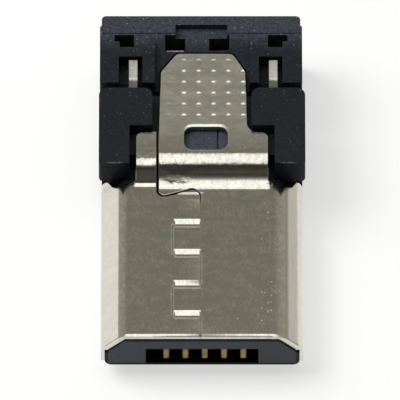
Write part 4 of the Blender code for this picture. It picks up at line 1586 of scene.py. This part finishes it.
@dataclass
class Studio:
    """A white table under a soft box, with the camera of the photograph.

    The tent's stops run from straight behind the plug at 0, over its top at half, to its front at 1.
    """

    elevation: float = 54.3
    distance: float = 602.0
    target: Triple = (-0.07, -0.726, 2.15)
    lens: float = 1600.0
    sensor: float = 36.0
    floor_size: float = 900.0
    floor_drop: float = 0.01
    paper: Triple = (0.88, 0.88, 0.88)
    floor_seen: float = 0.59
    floor_reflected: float = 0.84
    lamp_size: float = 160.0
    lamp_place: Triple = (-135.0, 40.0, 190.0)
    lamp_power: float = 0.5
    tent: tuple[Pair, ...] = (
        (0.0, 0.62), (0.12, 0.56), (0.2, 0.42), (0.27, 0.28), (0.295, 0.247), (0.335, 0.276),
        (0.355, 1.0), (0.582, 1.0), (0.604, 0.16), (0.64, 0.03), (0.7, 0.05), (0.77, 0.1),
        (1.0, 0.08))
    tent_tint: Triple = (1.0, 0.965, 0.82)

    def build(self) -> None:
        """Make the floor, the lamp, the world and the camera."""
        self.add_floor()
        self.add_lamp()
        self.add_world()
        self.add_camera()

    def add_floor(self) -> None:
        """A white floor whose shadow stays soft to the camera, and which is clear from below."""
        material = bpy.data.materials.new("white_floor")
        tree = Tree(material)
        seen = tree.node("ShaderNodeLightPath", None, None, "Is Camera Ray")
        shiny = tree.node("ShaderNodeLightPath", None, None, "Is Glossy Ray")
        paper = tree.node("ShaderNodeBsdfDiffuse", None, {"Color": (*self.paper, 1.0)})
        glow = tree.node("ShaderNodeEmission", None, {"Color": (1.0, 1.0, 1.0, 1.0), "Strength": 1.0})
        share = (seen * self.floor_seen).most(shiny * self.floor_reflected)
        table = tree.node("ShaderNodeMixShader", None, {0: share, 1: paper, 2: glow})
        below = tree.node("ShaderNodeNewGeometry", None, None, "Backfacing")
        clear = tree.node("ShaderNodeBsdfTransparent")
        surface = tree.node("ShaderNodeMixShader", None, {0: below, 1: table, 2: clear})
        tree.node("ShaderNodeOutputMaterial", None, {"Surface": surface})
        half = self.floor_size / 2
        corners = [(x, y, -self.floor_drop) for x, y in Outline.box(-half, half, -half, half)]
        floor = add_piece("floor", corners, [(0, 1, 2, 3)], material)

    def add_lamp(self) -> None:
        """A soft box over the upper left, so that the shadow falls to the right and forward."""
        lamp = bpy.data.lights.new("soft_box", "AREA")
        lamp.shape = "DISK"
        lamp.size = self.lamp_size * MM
        lamp.energy = self.lamp_power
        item = add_object("soft_box", lamp)
        item.location = Vector(self.lamp_place) * MM
        item.rotation_euler = Vector(self.lamp_place).to_track_quat("Z", "Y").to_euler()
        item.visible_glossy = False

    def add_world(self) -> None:
        """A tent of light: bright overhead, grey behind, dark at the camera, pale at the sides."""
        world = bpy.data.worlds.new("tent")
        bpy.context.scene.world = world
        tree = Tree(world)
        way = tree.node("ShaderNodeTexCoord", output="Generated")
        x, y, z = (tree.axis(way, name) for name in "XYZ")
        turn = z.math("ARCTAN2", y) * (1.0 / math.pi)
        over = tree.axis(tree.node("ShaderNodeValToRGB", {"stops": self.tent}, {0: turn}), "X")
        over = over * (over.fade(0.45, 0.95) * 0.75 + 1.0)
        left = x.fade(-0.04, -0.55)
        right = x.fade(0.06, 0.6)
        sides = left * (z.fade(0.1, 0.0) * 0.83 + 0.42) + right * (z.fade(0.0, 0.4) * 0.2 + 0.22)
        sides = sides * (y.fade(-0.3, 0.2) * 0.6 + 0.4)
        level = over * (1.0 - left.most(right)) + sides
        seen = tree.node("ShaderNodeLightPath", None, None, "Is Camera Ray")
        level = level * (1.0 - seen) + seen
        tint = tree.mix(self.tent_tint, (1.0, 1.0, 1.0), level.fade(0.2, 0.95))
        back = tree.node("ShaderNodeBackground", None, {"Color": tint, "Strength": level})
        tree.node("ShaderNodeOutputWorld", None, {"Surface": back})

    def add_camera(self) -> None:
        """The camera in front of the plug, looking down on it from a distance."""
        lens = bpy.data.cameras.new("camera")
        lens.lens = self.lens
        lens.sensor_width = self.sensor
        lens.clip_start = 0.01
        camera = add_object("camera", lens)
        tilt = math.radians(self.elevation)
        offset = Vector((0.0, -math.cos(tilt), math.sin(tilt))) * self.distance
        camera.location = (Vector(self.target) + offset) * MM
        camera.rotation_euler = (math.radians(90.0) - tilt, 0.0, 0.0)
        bpy.context.scene.camera = camera


def main() -> None:
    """Load the frame, dress every piece and light the scene."""
    logging.basicConfig(level=logging.INFO)
    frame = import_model()
    bpy.context.scene.view_settings.view_transform = "Standard"
    shell = StampedShell().build(NickelFinish().material())
    LOG.info("folded %s with %d faces", shell.name, len(shell.data.polygons))
    moulding = MouldedFinish().material()
    CarriedPieces(("main_insulator", "rear_housing"), 0.03).dress(frame, moulding)
    # The nose strip is near black: painted shade under the mating face and in the gaps by the shell.
    LOG.info("edged the nose with %s", MouthShadeBorder().build(moulding).name)
    contacts = tuple(f"contact_{number}" for number in range(1, 6))
    CarriedPieces(contacts, 0.05, 3).dress(frame, GoldFinish().material())
    latches = ("latch_spring_left", "latch_spring_right")
    CarriedPieces(latches, 0.025).dress(frame, SpringFinish().material())
    Studio().build()


if __name__ == "__main__":
    main()
